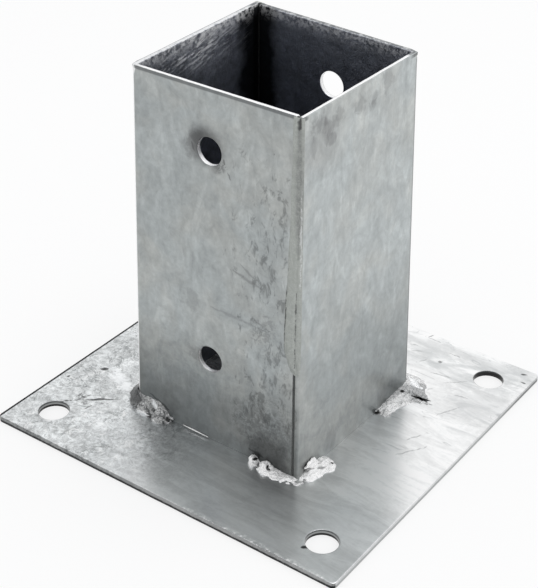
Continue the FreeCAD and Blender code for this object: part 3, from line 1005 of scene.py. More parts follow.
def sheared_rectangle(low: Point2, high: Point2, radius: float, step: float, ragged: float,
                      seed: float) -> Loop:
    """An anticlockwise rectangle with small corner radii and slightly uneven sheared sides.

    Args:
        low: The lowest corner.
        high: The highest corner.
        radius: The corner radius.
        step: The distance between points along a side.
        ragged: How far the sides may fall short of the rectangle.
        seed: Where the unevenness is read from.

    Returns:
        The outline's points.
    """
    left, right = low[0] + radius, high[0] - radius
    bottom, top = low[1] + radius, high[1] - radius
    corners = [(right, bottom, -0.5), (right, top, 0.0), (left, top, 0.5), (left, bottom, 1.0)]
    points: list[Vector] = []
    for index, (cx, cy, start) in enumerate(corners):
        for part in range(5):
            angle = (start + part / 8) * math.pi
            points.append(Vector((cx + radius * math.cos(angle), cy + radius * math.sin(angle))))
        nx, ny, following = corners[(index + 1) % 4]
        angle = following * math.pi
        target = Vector((nx + radius * math.cos(angle), ny + radius * math.sin(angle)))
        begin = points[-1]
        count = max(2, int((target - begin).length / step))
        inward = Vector((-(target - begin).y, (target - begin).x)).normalized()
        for part in range(1, count):
            share = part / count
            spot = begin.lerp(target, share)
            wobble = noise.noise(Vector((spot.x * 180, spot.y * 180, seed)))
            wobble += 0.5 * noise.noise(Vector((spot.x * 700, spot.y * 700, seed)))
            fade = min(1.0, share * 8, (1 - share) * 8)
            points.append(spot + inward * (ragged * fade * (0.5 + 0.4 * wobble)))
    return [(p.x, p.y) for p in points]


def inset(loop: Loop, amount: float) -> Loop:
    """Move a loop towards its left side, which is where the metal is.

    Args:
        loop: The loop's points.
        amount: How far each side moves.

    Returns:
        The moved points.
    """
    result: Loop = []
    count = len(loop)
    for index in range(count):
        before, here, after = (Vector(loop[(index + k) % count]) for k in (-1, 0, 1))
        first = (here - before).normalized()
        second = (after - here).normalized()
        left = Vector((-(first.y + second.y), first.x + second.x))
        left.normalize()
        spread = max(0.5, left.dot(Vector((-first.y, first.x))))
        result.append(tuple(here + left * (amount / spread)))
    return result


def within(point: Point2, loop: Loop) -> bool:
    """Whether a point lies inside a loop.

    Args:
        point: The point.
        loop: The loop's points.

    Returns:
        True for a point inside.
    """
    x, y = point
    inside = False
    previous = loop[-1]
    for current in loop:
        if (current[1] > y) != (previous[1] > y):
            slope = (previous[0] - current[0]) / (previous[1] - current[1])
            if x < current[0] + slope * (y - current[1]):
                inside = not inside
        previous = current
    return inside


@dataclass
class SheetBlank:
    """A flat sheet with holes and broken edges, laid into place by a folding rule.

    The rule takes the two flat coordinates and the depth below the outer face.
    """

    outline: Loop
    holes: list[Loop]
    thickness: float
    arris: float
    lines_u: Sequence[float]
    lines_v: Sequence[float]
    fold: Callable[[float, float, float], Vector]

    def edge_profile(self) -> list[Point2]:
        """Inset and depth of each ring round an edge, from the outer face to the inner one."""
        b, t, hold = self.arris, self.thickness, self.arris + 0.25 * MM
        return [(hold, 0.0), (b, 0.0), (0.29 * b, 0.29 * b), (0.0, b),
                (0.0, t - b), (0.29 * b, t - 0.29 * b), (b, t), (hold, t)]

    def face_points(self, loops: list[Loop]) -> tuple[list[Vector], list[tuple[int, ...]]]:
        """Triangulate the flat face between the inset loops.

        Args:
            loops: The outline and the holes, already inset.

        Returns:
            The points, with the loops' own points first and in order, and the triangles.
        """
        points = [Vector(p) for loop in loops for p in loop]
        edges: list[tuple[int, int]] = []
        start = 0
        for loop in loops:
            count = len(loop)
            edges += [(start + i, start + (i + 1) % count) for i in range(count)]
            start += count
        rim = list(points)
        margin = 0.8 * MM
        for u in self.lines_u:
            for v in self.lines_v:
                spot = Vector((u, v))
                if not within((u, v), loops[0]) or any(within((u, v), h) for h in loops[1:]):
                    continue
                if min((spot - p).length_squared for p in rim) > margin * margin:
                    points.append(spot)
        found = delaunay_2d_cdt(points, edges, [], 0, 1e-9)
        verts, faces, sources = found[0], found[2], found[3]
        back = {index: source[0] for index, source in enumerate(sources) if source}
        triangles = []
        for face in faces:
            centre = sum((verts[i] for i in face), Vector((0.0, 0.0))) / len(face)
            spot = (centre.x, centre.y)
            if within(spot, loops[0]) and not any(within(spot, h) for h in loops[1:]):
                triangles.append(tuple(back[i] for i in face))
        return points, triangles

    def build(self, name: str) -> bpy.types.Object:
        """Make the folded sheet.

        Args:
            name: The piece's name.

        Returns:
            The new object, linked to the scene.
        """
        loops = [self.outline, *self.holes]
        profile = self.edge_profile()
        rings = [[inset(loop, amount) for loop in loops] for amount, _ in profile]
        points, triangles = self.face_points(rings[0])
        mesh = bmesh.new()
        rows: list[list[bmesh.types.BMVert]] = []
        for ring, (_, depth) in zip(rings, profile):
            flat = [p for loop in ring for p in loop]
            rows.append([mesh.verts.new(self.fold(u, v, depth)) for u, v in flat])
        border = len(rows[0])
        for row, depth in ((rows[0], 0.0), (rows[-1], self.thickness)):
            row += [mesh.verts.new(self.fold(p.x, p.y, depth)) for p in points[border:]]
            for triangle in triangles:
                mesh.faces.new([row[i] for i in triangle])
        start = 0
        for loop in loops:
            count = len(loop)
            for upper, lower in zip(rows, rows[1:]):
                for i in range(count):
                    a, b = start + i, start + (i + 1) % count
                    mesh.faces.new((upper[a], upper[b], lower[b], lower[a]))
            start += count
        bmesh.ops.recalc_face_normals(mesh, faces=mesh.faces)
        return finish_mesh(mesh, name, 32.0)


def finish_mesh(mesh: bmesh.types.BMesh, name: str, sharp: float) -> bpy.types.Object:
    """Turn a bmesh into a smooth-shaded scene object.

    Args:
        mesh: The mesh, which is freed.
        name: The object's name.
        sharp: The angle in degrees above which an edge stays crisp.

    Returns:
        The object.
    """
    data = bpy.data.meshes.new(name)
    mesh.to_mesh(data)
    mesh.free()
    data.shade_smooth()
    data.set_sharp_from_angle(angle=math.radians(sharp))
    return placed(name, data)


def placed(name: str, data: bpy.types.ID) -> bpy.types.Object:
    """Put new data into the scene as an object."""
    thing = bpy.data.objects.new(name, data)
    bpy.context.scene.collection.objects.link(thing)
    return thing


def skin(mesh: bmesh.types.BMesh, rings: Iterable[Iterable[Vector]]) -> None:
    """Skin a stack of closed rings and close both ends.

    Args:
        mesh: The mesh that takes the faces.
        rings: The rings in order, all with as many points.
    """
    rows = [[mesh.verts.new(point) for point in ring] for ring in rings]
    for first, second in zip(rows, rows[1:]):
        for i in range(len(first)):
            j = (i + 1) % len(first)
            mesh.faces.new((first[i], first[j], second[j], second[i]))
    mesh.faces.new(rows[0])
    mesh.faces.new(rows[-1])


def tidy_faces(mesh: bmesh.types.BMesh) -> None:
    """Cut the many-sided faces into triangles and turn every face outwards."""
    bmesh.ops.triangulate(mesh, faces=[f for f in mesh.faces if len(f.verts) > 4])
    bmesh.ops.recalc_face_normals(mesh, faces=mesh.faces)


def dress(piece: bpy.types.Object, material: bpy.types.Material,
          nodes: Iterable[str]) -> None:
    """Give a piece its finish and its place in the frame.

    Args:
        piece: The new object.
        material: Its finish.
        nodes: The CAD nodes that it stands for.
    """
    piece.data.materials.append(material)
    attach(piece, "root")
    names = list(nodes)
    if names:
        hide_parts(*names)
    LOG.info("%s: %d faces", piece.name, len(piece.data.polygons))


def spaced(start: float, end: float, step: float) -> list[float]:
    """Evenly spaced values between two ends, both left out."""
    count = max(2, round(abs(end - start) / step))
    return [start + (end - start) * i / count for i in range(1, count)]


@dataclass
class BasePlate:
    """The drilled plate: sheared sides and a surface that is a little uneven."""

    hole_diameter: float = 12.0 * MM
    hole_inset: float = 15.2 * MM
    arris: float = 0.25 * MM
    corner_radius: float = 1.8 * MM
    grid: float = 4.0 * MM
    waviness: float = 0.10 * MM
    side_step: float = 2.5 * MM
    ragged: float = 0.12 * MM
    seed: float = 1.7
    thickness: float = 0.0  # build() reads it from the CAD node

    def fold(self, u: float, v: float, depth: float) -> Vector:
        """Lay the flat plate down, its top a little uneven and its underside flat.

        Args:
            u: The place along X.
            v: The place along Y.
            depth: The distance below the top.

        Returns:
            The point in the shared frame.
        """
        wave = noise.noise(Vector((u * 22, v * 22, 3.1))) + 0.4 * noise.noise(
            Vector((u * 60, v * 60, 8.7)))
        lift = self.waviness * min(0.0, wave - 0.5) * (1 - depth / self.thickness)
        return Vector((u, v, self.thickness - depth + lift))

    def build(self) -> bpy.types.Object:
        """Make the plate from the CAD node's own box.

        Returns:
            The plate.
        """
        low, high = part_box("base_plate")
        self.thickness = high.z - low.z
        outline = sheared_rectangle((low.x, low.y), (high.x, high.y), self.corner_radius,
                                    self.side_step, self.ragged, self.seed)
        reach_x = high.x - self.hole_inset
        reach_y = high.y - self.hole_inset
        holes = [circle((reach_x * sx, reach_y * sy), self.hole_diameter / 2)
                 for sx in (-1, 1) for sy in (-1, 1)]
        blank = SheetBlank(outline, holes, self.thickness, self.arris,
                           spaced(low.x, high.x, self.grid), spaced(low.y, high.y, self.grid),
                           self.fold)
        return blank.build("plate_sheet")


@dataclass
class FoldedAngle:
    """One bent sheet of the sleeve: a plain wall, the bend and a drilled wall."""

    name: str
    node: str
    turned: bool
    lean: Point2
    hole_x: float
    seed: float
    outer_radius: float = 2.6 * MM
    hole_diameter: float = 10.7 * MM
    hole_heights: tuple[float, float] = (39.0 * MM, 125.1 * MM)
    arris: float = 0.25 * MM
    waviness: float = 0.10 * MM
    settle: float = 0.42 * MM
    settle_height: float = 10.0 * MM
    flare: float = 0.28 * MM
    flare_height: float = 5.0 * MM
    stiff: float = 4.0 * MM
    fade: float = 12.0 * MM
    grid: float = 4.0 * MM
    corner_radius: float = 0.65 * MM
    side_step: float = 2.5 * MM
    ragged: float = 0.10 * MM

    def __post_init__(self) -> None:
        """Read the wall's foot and rim off the CAD node."""
        low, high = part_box(self.node)
        self.foot, self.rim = low.z, high.z
        self.half_arc = (self.outer_radius - SHEET_WALL / 2) * math.pi / 4

    def fold(self, u: float, v: float, depth: float) -> Vector:
        """Bend the flat sheet round its corner and stand it up.

        Args:
            u: Distance along the sheet from the middle of the bend; drilled wall positive.
            v: Height above the foot.
            depth: Depth below the outer face.

        Returns:
            The place in the frame.
        """
        wave = noise.noise(Vector((u * 26, v * 18, self.seed)))
        fade = min(1.0, max(0.0, abs(u) - self.stiff) / self.fade)
        depth += self.waviness * wave * fade
        near_rim = max(0.0, 1 - (self.rim - self.foot - v) / self.flare_height)
        depth -= self.flare * near_rim ** 2 * max(0.0, 1 - abs(u) / self.stiff)
        centre = -HALF_SLEEVE + self.outer_radius
        if u > self.half_arc:
            x, y = centre + u - self.half_arc, -HALF_SLEEVE + depth
        elif u < -self.half_arc:
            x, y = -HALF_SLEEVE + depth, centre - u - self.half_arc
        else:
            angle = math.radians(-135 + 45 * u / self.half_arc)
            radius = self.outer_radius - depth
            x, y = centre + radius * math.cos(angle), centre + radius * math.sin(angle)
        z = self.foot + v - self.settle * max(0.0, 1 - v / self.settle_height)
        low, high = self.lean
        share = (HALF_SLEEVE - x) * (HALF_SLEEVE - y) / (4 * HALF_SLEEVE * HALF_SLEEVE)
        climb = v / (self.rim - self.foot)
        lean = share * (low + (high - low) * climb)
        if not self.turned:
            return Vector((x + lean, y, z))
        return Vector((lean - x, -y, z - RIGHT_DROOP * share * climb))

    def build(self) -> bpy.types.Object:
        """Cut the blank, with its holes, and fold it.

        Returns:
            The folded sheet.
        """
        centre = -HALF_SLEEVE + self.outer_radius
        drilled_end = HALF_SLEEVE - SHEET_WALL - SEAM_GAP - centre + self.half_arc
        plain_end = -(HALF_SLEEVE - centre + self.half_arc)
        height = self.rim - self.foot
        outline = sheared_rectangle((plain_end, 0.0), (drilled_end, height),
                                    self.corner_radius, self.side_step, self.ragged, self.seed)
        across = self.hole_x - centre + self.half_arc
        holes = [circle((across, z - self.foot), self.hole_diameter / 2)
                 for z in self.hole_heights]
        bend = spaced(-self.half_arc - 0.01 * MM, self.half_arc + 0.01 * MM, 0.28 * MM)
        lines_u = (spaced(plain_end, -self.half_arc, self.grid) + [-self.half_arc] + bend
                   + [self.half_arc] + spaced(self.half_arc, drilled_end, self.grid))
        blank = SheetBlank(outline, holes, SHEET_WALL, self.arris, lines_u,
                           spaced(0.0, height, self.grid), self.fold)
        return blank.build(self.name)


# Weld metal

@dataclass
class SeamWeld:
    """A low, rippled bead over one open joint, and the zinc that stands in the joint's slit."""

    name: str
    node: str
    turned: bool
    seed: float
    face_reach: float = 6.9 * MM
    wrap: float = 0.7 * MM
    rise: float = 0.50 * MM
    sink: float = 0.25 * MM
    columns: int = 22
    row_step: float = 0.7 * MM
    slit: Point2 = (34.35 * MM, 35.75 * MM)
    slit_depth: Point2 = (0.40 * MM, 1.2 * MM)

    def place(self, x: float, y: float, z: float) -> Vector:
        """Put a point of the front joint at this bead's own joint."""
        sign = -1 if self.turned else 1
        return Vector((x * sign, y * sign, z))

    def section(self, z: float, share: float) -> list[Vector]:
        """One closed ring of the bead.

        Args:
            z: The ring's height.
            share: 0 at the bead's foot and 1 at its top.

        Returns:
            The ring's points, over the bead's face and back along its sunk root.
        """
        wobble = noise.noise(Vector((3.3, self.seed, z * 90)))
        wobble += 0.4 * noise.noise(Vector((8.1, self.seed, z * 420)))
        taper = math.sqrt(min(1.0, share * 11 + 0.02))
        narrow = 1 - 0.38 * min(1.0, max(0.0, (share - 0.15) * 1.6))
        left = self.face_reach * (narrow + 0.07 * wobble) * (0.25 + 0.75 * taper)
        rise = self.rise * (0.3 + 0.7 * taper) * (1 - 0.45 * min(1.0, share * 1.4))
        corner = HALF_SLEEVE
        length = left + self.wrap * taper
        ring: list[Vector] = []
        for back in (False, True):
            steps = range(self.columns + 1)
            for step in reversed(steps) if back else steps:
                t = step / self.columns
                run = t * length
                ripple = noise.noise(Vector((run * 520, z * 300, self.seed)))
                ripple += 0.6 * noise.noise(Vector((run * 1300, z * 900, self.seed)))
                body = (1 - (2 * t - 1) ** 6) * (0.72 + 0.28 * math.sin(math.pi * t))
                groove = 0.45 * math.exp(-((t - 0.62) / 0.07) ** 2)
                height = rise * body * (1 + 0.30 * ripple - groove)
                out = -self.sink if back else max(0.02 * MM, height)
                if run <= left:
                    ring.append(self.place(corner - left + run, -corner - out, z))
                else:
                    ring.append(self.place(corner + out, -corner + run - left, z))
        return ring

    def slit_section(self, z: float) -> list[Vector]:
        """One closed ring of the zinc in the slit, its face hollow and uneven.

        Args:
            z: The ring's height.

        Returns:
            The ring's points.
        """
        shake = noise.noise(Vector((self.seed, 5.5, z * 300)))
        depth = self.slit_depth[0] * (1 + 0.25 * shake)
        low, high = self.slit
        middle = (low + high) / 2
        outline = [(low, depth * 0.8), (middle, depth), (high, depth * 0.7),
                   (high, self.slit_depth[1]), (low, self.slit_depth[1])]
        return [self.place(x, -HALF_SLEEVE + inward, z) for x, inward in outline]

    def sweep(self, rings: list[list[Vector]], name: str, sharp: float) -> bpy.types.Object:
        """Skin a stack of rings and close both ends.

        Args:
            rings: The rings, from the lowest up, all with as many points.
            name: The object's name.
            sharp: The angle in degrees above which an edge stays crisp.

        Returns:
            The object.
        """
        mesh = bmesh.new()
        skin(mesh, rings)
        tidy_faces(mesh)
        return finish_mesh(mesh, name, sharp)

    def build(self) -> bpy.types.Object:
        """Sweep the bead down the joint.

        Returns:
            The bead.
        """
        low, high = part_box(self.node)
        top = high.z + 0.25 * MM
        count = round((top - low.z) / self.row_step)
        rings = [self.section(low.z + (top - low.z) * i / count, i / count)
                 for i in range(count + 1)]
        return self.sweep(rings, self.name, 50.0)

    def build_slit(self, foot: float) -> bpy.types.Object:
        """Sweep the zinc that stands in the slit, from the sleeve's foot to its rim.

        Args:
            foot: The height of the sleeve's foot.

        Returns:
            The strip of zinc.
        """
        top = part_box(self.node)[1].z + 0.3 * MM
        count = round((top - foot) / (2 * self.row_step))
        rings = [self.slit_section(foot + (top - foot) * i / count) for i in range(count + 1)]
        return self.sweep(rings, self.name + "_slit", 30.0)


@dataclass(frozen=True)
class Station:
    """One cross-section of a corner weld, in millimetres.

    It stands on the wall's foot line at a point and faces away from the wall. The belly is
    a half for a flat face, less for a hollow one and more for a round one.
    """

    at: Point2
    out: Point2
    wall: float
    leg: float
    belly: float = 0.5
    crown: float = 1.0

    def values(self) -> list[float]:
        """All the sizes as one row."""
        return [*self.at, *self.out, self.wall, self.leg, self.belly, self.crown]


def arm(out: Point2, *rows: tuple[float, ...]) -> tuple[Station, ...]:
    """Stations that face one way, from rows of x, y, wall, leg and optional belly, crown."""
    return tuple(Station((x, y), out, *sizes) for x, y, *sizes in rows)


@dataclass(frozen=True)
class Lump:
    """One swelling of weld metal, in millimetres: centre, half sizes and turns in degrees."""

    at: Point3
    half_sizes: Point3
    turn: float = 0.0
    tilt: float = 0.0


@dataclass(frozen=True)
class Fin:
    """A thin torn tongue of weld metal: its outline and the way it is thick, in millimetres."""

    outline: tuple[Point3, ...]
    thick: Point3


@dataclass
class CornerWeld:
    """Weld metal round one corner: a fillet swept past stations, with lumps and fins on it."""

    name: str
    node: str
    stations: tuple[Station, ...]
    lumps: tuple[Lump, ...]
    fins: tuple[Fin, ...]
    seed: float
    crown: float = 0.8
    ripple: float = 0.44 * MM
    voxel: float = 0.28 * MM

    def sections(self) -> list[Station]:
        """Stations close together, on a smooth curve past the given ones.

        Returns:
            The stations in order.
        """
        rows = [station.values() for station in self.stations]
        result: list[Station] = []
        for index in range(len(rows) - 1):
            before, first = rows[max(index - 1, 0)], rows[index]
            second, after = rows[index + 1], rows[min(index + 2, len(rows) - 1)]
            count = 12
            for part in range(count + (index == len(rows) - 2)):
                t = part / count
                row = [0.5 * (2 * b + (c - a) * t + (2 * a - 5 * b + 4 * c - d) * t * t
                              + (3 * b - a - 3 * c + d) * t ** 3)
                       for a, b, c, d in zip(before, first, second, after)]
                result.append(Station((row[0], row[1]), (row[2], row[3]), max(0.15, row[4]),
                                      max(0.2, row[5]), row[6], max(0.0, row[7])))
        return result

    def ring(self, section: Station) -> list[Vector]:
        """The closed outline of one cross-section, in metres.

        Args:
            section: The station that gives its place and sizes.

        Returns:
            The outline's points.
        """
        base = Vector((*section.at, PLATE_TOP))
        out = Vector((*section.out, 0.0)).normalized()
        up = Vector((0.0, 0.0, 1.0))
        wall, leg, belly = section.wall, section.leg, section.belly
        points = [(-WELD_ROOT, wall)]
        steps = 12
        crown = self.crown * section.crown * min(1.0, leg / 5)
        for step in range(steps + 1):
            t = step / steps
            control = 2 * t * (1 - t)
            points.append((leg * (t * t + control * belly),
                           wall * ((1 - t) ** 2 + control * belly)
                           + crown * math.sin(math.pi * t)))
        points += [(leg, -WELD_ROOT), (-WELD_ROOT, -WELD_ROOT)]
        return [(base + out * a + up * b) * MM for a, b in points]

    def raw_mesh(self) -> bmesh.types.BMesh:
        """The fillet, the lumps and the fins as separate closed forms in one mesh.

        Returns:
            The mesh, which the caller frees.
        """
        mesh = bmesh.new()
        skin(mesh, (self.ring(section) for section in self.sections()))
        for lump in self.lumps:
            place = (Matrix.Translation(Vector(lump.at) * MM)
                     @ Matrix.Rotation(math.radians(lump.turn), 4, "Z")
                     @ Matrix.Rotation(math.radians(lump.tilt), 4, "Y")
                     @ Matrix.Diagonal((*(Vector(lump.half_sizes) * MM), 1.0)))
            bmesh.ops.create_icosphere(mesh, subdivisions=4, radius=1.0, matrix=place)
        for fin in self.fins:
            top = [mesh.verts.new(Vector(p) * MM) for p in fin.outline]
            under = [mesh.verts.new((Vector(p) + Vector(fin.thick)) * MM) for p in fin.outline]
            mesh.faces.new(top)
            mesh.faces.new(list(reversed(under)))
            for i in range(len(top)):
                j = (i + 1) % len(top)
                mesh.faces.new((top[j], top[i], under[i], under[j]))
        tidy_faces(mesh)
        return mesh

    def melt(self) -> bpy.types.Object:
        """Join the forms into one skin by voxels and relax it.

        Returns:
            The joined weld.
        """
        data = bpy.data.meshes.new(self.name + "_raw")
        mesh = self.raw_mesh()
        mesh.to_mesh(data)
        mesh.free()
        thing = placed(self.name, data)
        remesh = thing.modifiers.new("remesh", "REMESH")
        remesh.mode = "VOXEL"
        remesh.voxel_size = self.voxel
        relax = thing.modifiers.new("relax", "SMOOTH")
        relax.factor = 0.5
        relax.iterations = 2
        graph = bpy.context.evaluated_depsgraph_get()
        melted = bpy.data.meshes.new_from_object(thing.evaluated_get(graph))
        thing.modifiers.clear()
        thing.data = melted
        melted.name = self.name
        return thing

    def build(self) -> bpy.types.Object:
        """Melt the forms, then crumple the skin with creases, ripples and pits.

        Returns:
            The finished weld.
        """
        thing = self.melt()
        data = thing.data
        shift = Vector((self.seed, self.seed, 0.0))
        normals = [item.vector.copy() for item in data.vertex_normals]
        lowest = (PLATE_TOP - WELD_ROOT) * MM
        for vertex, normal in zip(data.vertices, normals):
            spot = vertex.co
            # The factors are features a metre: folds, finer folds, ripples and pits
            crease = 1 - 2.6 * abs(noise.noise(spot * 240 + shift))
            finer = 1 - 2.6 * abs(noise.noise(spot * 620 - shift))
            ripple = noise.noise(spot * 1150 + shift)
            pit = max(0.0, noise.noise(spot * 430 - shift * 2) - 0.34) * 4.0
            amount = 0.46 * crease + 0.44 * finer + 0.36 * ripple - 0.9 * pit - 0.4
            moved = spot + normal * (self.ripple * amount)
            moved.z = max(moved.z, lowest)
            vertex.co = moved
        data.shade_smooth()
        return thing


@dataclass
class ZincRun:
    """A thread of bright zinc along the foot of one wall, thickest in its middle."""

    name: str
    start: Point3
    end: Point3
    radius: float
    seed: float
    segments: int = 48
    sides: int = 10

    def build(self) -> bpy.types.Object:
        """Sweep the thread between its two ends.

        Returns:
            The thread.
        """
        mesh = bmesh.new()
        start, end = Vector(self.start), Vector(self.end)
        along = (end - start).normalized()
        across = along.cross(Vector((0.0, 0.0, 1.0))).normalized()
        up = across.cross(along)
        rings: list[list[Vector]] = []
        for index in range(self.segments + 1):
            t = index / self.segments
            swell = noise.noise(Vector((t * 9, self.seed, 0.0)))
            radius = self.radius * (0.12 + 0.88 * math.sin(math.pi * t) ** 0.5) * (
                1 + 0.35 * swell)
            centre = start.lerp(end, t) + up * (0.1 * MM * swell)
            rings.append([centre + radius * (across * math.cos(a) + up * math.sin(a))
                          for a in (2 * math.pi * k / self.sides for k in range(self.sides))])
        skin(mesh, rings)
        bmesh.ops.recalc_face_normals(mesh, faces=mesh.faces)
        return finish_mesh(mesh, self.name, 60.0)


# Studio

@dataclass(frozen=True)
class Studio:
    """Pale floor, soft light and the photograph's camera."""

    camera_at: Point3 = (285.249 * MM, -396.043 * MM, 357.492 * MM)
    right: Point3 = (0.81661076, 0.57701784, 0.01404566)
    up: Point3 = (-0.27020362, 0.36066938, 0.89269682)
    back: Point3 = (0.51003614, -0.73278101, 0.45043880)
    focal_pixels: float = 1501.936
    centre_pixels: Point2 = (298.928, 150.0)
    clip: Point2 = (0.01, 20.0)
    floor_size: float = 3.0
    floor_below: float = 0.05 * MM
    floor_tone: Colour = (0.9, 0.9, 0.9)
    floor_glow: float = 0.72
    ceiling_range: Point2 = (0.62, 0.93)
    ceiling_tone: Colour = (0.42, 0.43, 0.45)
    lamp_at: Point3 = (0.15, 0.1, 1.3)
    lamp_aim: Point3 = (0.0, 0.0, 0.07)
    lamp_size: float = 0.9
    lamp_power: float = 6.0

    def make_camera(self) -> None:
        """Place the camera that was fitted to the photograph."""
        data = bpy.data.cameras.new("photo_camera")
        longest = max(PHOTO_WIDTH, PHOTO_HEIGHT)
        data.sensor_width = SENSOR_WIDTH
        data.lens = self.focal_pixels * SENSOR_WIDTH / longest
        data.shift_x = -(self.centre_pixels[0] - PHOTO_WIDTH / 2) / longest
        data.shift_y = (self.centre_pixels[1] - PHOTO_HEIGHT / 2) / longest
        data.clip_start, data.clip_end = self.clip
        camera = placed("photo_camera", data)
        turn = Matrix((self.right, self.up, self.back)).transposed().to_4x4()
        camera.matrix_world = Matrix.Translation(self.camera_at) @ turn
        bpy.context.scene.camera = camera

    def make_floor(self) -> None:
        """Lay the floor, white to the camera and in reflections, with the object's shadow."""
        mesh = bmesh.new()
        bmesh.ops.create_grid(mesh, x_segments=1, y_segments=1, size=self.floor_size)
        data = bpy.data.meshes.new("floor")
        mesh.to_mesh(data)
        mesh.free()
        floor = placed("floor", data)
        floor.location.z = -self.floor_below
        material, g, shader, output = new_material("floor_white")
        shader.inputs["Base Color"].default_value = (*self.floor_tone, 1.0)
        shader.inputs["Roughness"].default_value = 0.9
        glow = g.add("ShaderNodeEmission", {"Color": (*WHITE, 1.0), "Strength": 1.0})
        path = g.add("ShaderNodeLightPath").outputs
        seen = g.most(path["Is Camera Ray"], path["Is Glossy Ray"], path["Is Transmission Ray"])
        share = g.times(seen, self.floor_glow)
        both = g.add("ShaderNodeMixShader", {0: share, 1: shader.outputs[0], 2: glow.outputs[0]})
        g.feed(output.inputs["Surface"], both.outputs[0])
        data.materials.append(material)

    def make_sky(self) -> None:
        """Light the room: white walls that darken towards the ceiling."""
        world = bpy.data.worlds.new("studio")
        bpy.context.scene.world = world
        world.use_nodes = True
        world.node_tree.nodes.clear()
        g = Graph(world.node_tree)
        place = g.add("ShaderNodeTexCoord").outputs["Generated"]
        height = g.split(place)[2]
        tone = g.mix(g.ramp(height, *self.ceiling_range), WHITE, self.ceiling_tone)
        path = g.add("ShaderNodeLightPath").outputs
        tone = g.mix(path["Is Camera Ray"], tone, WHITE)
        sky = g.add("ShaderNodeBackground", {"Color": tone, "Strength": 1.0})
        g.add("ShaderNodeOutputWorld", {"Surface": sky.outputs[0]})

    def make_lamp(self) -> None:
        """Hang one soft panel that looks at the sleeve."""
        data = bpy.data.lights.new("overhead_panel", "AREA")
        data.shape = "SQUARE"
        data.size = self.lamp_size
        data.energy = self.lamp_power
        lamp = placed("overhead_panel", data)
        lamp.location = self.lamp_at
        aim = Vector(self.lamp_aim) - Vector(self.lamp_at)
        lamp.rotation_mode = "QUATERNION"
        lamp.rotation_quaternion = aim.to_track_quat("-Z", "Y")

    def build(self) -> None:
        """Make the camera, the floor and the light."""
        self.make_camera()
        self.make_floor()
        self.make_sky()
        self.make_lamp()


# The object

LEFT_SHEET_MARKS_AND_SHADE = (
    # Shade round the upper cross hole, and dark rags beside both holes
    on_wall((-3.4, 127.0), 10.4, 0.10, 0.85, ragged=0.12),
    on_wall((-7.2, 129.2), 4.0, 0.07, 0.45, ragged=0.3),
    on_wall((-9.4, 126.6), 0.9, 0.07, 0.6, (-8.4, 123.4)),
    on_wall((3.4, 121.2), 3.6, 0.12, 0.55, patchy=True),
    on_wall((1.0, 119.2), 3.0, 0.12, 0.35, ragged=0.3),
    on_wall((-9.2, 125.0), 5.0, 0.15, 0.30),
    on_wall((-8.6, 38.6), 5.0, 0.10, 0.30),
    on_wall((4.3, 124.2), 0.9, 0.12, 0.7, (5.3, 122.0)),
    on_wall((6.3, 119.3), 0.7, 0.12, 0.6, (7.6, 116.9)),
    # Strokes and smears between the holes
    on_wall((7.8, 81.3), 1.3, 0.16, 0.45, (20.9, 78.0)),
    on_wall((11.4, 85.1), 1.1, 0.16, 0.40, (17.9, 80.9)),
    on_wall((-3.2, 62.5), 1.2, 0.18, 0.35, (21.0, 61.4)),
    on_wall((21.0, 61.4), 9.0, 0.12, 0.40, patchy=True),
    on_wall((-10.7, 61.9), 6.0, 0.16, 0.28),
    # Painted shade at the rim where the bend bulges
    MarkOrPaintedLight((-35.6, -37.4, 148.6), 1.3, 0.05, 0.8),
    # Shade over the corner welds
    on_wall((-28.6, 11.0), 15.0, 0.07, 0.22, ragged=0.3),
    on_wall((24.0, 6.3), 14.0, 0.05, 0.56, ragged=0.3),
    on_wall((22.0, 18.0), 19.0, 0.06, 0.42, ragged=0.6, patchy=True),
    on_wall((-33.0, 11.2), 1.2, 0.04, 0.6, (-23.0, 7.2)),
    on_wall((15.0, 6.6), 1.4, 0.04, 0.6, (22.0, 5.4)),
)

RIGHT_SHEET_MARKS_AND_SHADE = (
    # Blotches that hang from the rim of the plain wall
    MarkOrPaintedLight((37.0, -27.0, 136.0), 15.0, 0.26, 0.30, ragged=0.3),
    MarkOrPaintedLight((37.0, -24.6, 144.0), 4.4, 0.20, 0.45, end=(37.0, -23.4, 133.6)),
    MarkOrPaintedLight((37.0, -20.0, 143.0), 3.4, 0.20, 0.35, end=(37.0, -16.4, 138.0)),
    MarkOrPaintedLight((37.0, -31.6, 140.0), 3.4, 0.20, 0.35, end=(37.0, -31.0, 131.6)),
    MarkOrPaintedLight((37.3, -28.5, 143.4), 5.0, 0.20, 0.50),
    MarkOrPaintedLight((37.2, -21.1, 139.3), 4.0, 0.20, 0.45),
    MarkOrPaintedLight((37.2, -20.3, 135.4), 3.5, 0.20, 0.45),
    MarkOrPaintedLight((37.0, -15.7, 142.0), 4.0, 0.20, 0.40),
    MarkOrPaintedLight((36.8, -2.3, 140.7), 4.5, 0.20, 0.40),
    MarkOrPaintedLight((36.6, 6.8, 140.3), 3.5, 0.20, 0.40),
    MarkOrPaintedLight((36.6, 6.3, 137.4), 3.0, 0.20, 0.35),
    MarkOrPaintedLight((36.4, 15.3, 143.6), 5.0, 0.22, 0.40),
    # Shade over the corner welds
    MarkOrPaintedLight((38.5, 20.1, 7.1), 8.0, 0.12, 0.28, ragged=0.3),
    MarkOrPaintedLight((38.6, 29.3, 9.0), 7.0, 0.12, 0.20, ragged=0.3),
    MarkOrPaintedLight((37.8, -17.3, 8.2), 7.0, 0.14, 0.35, ragged=0.3),
)

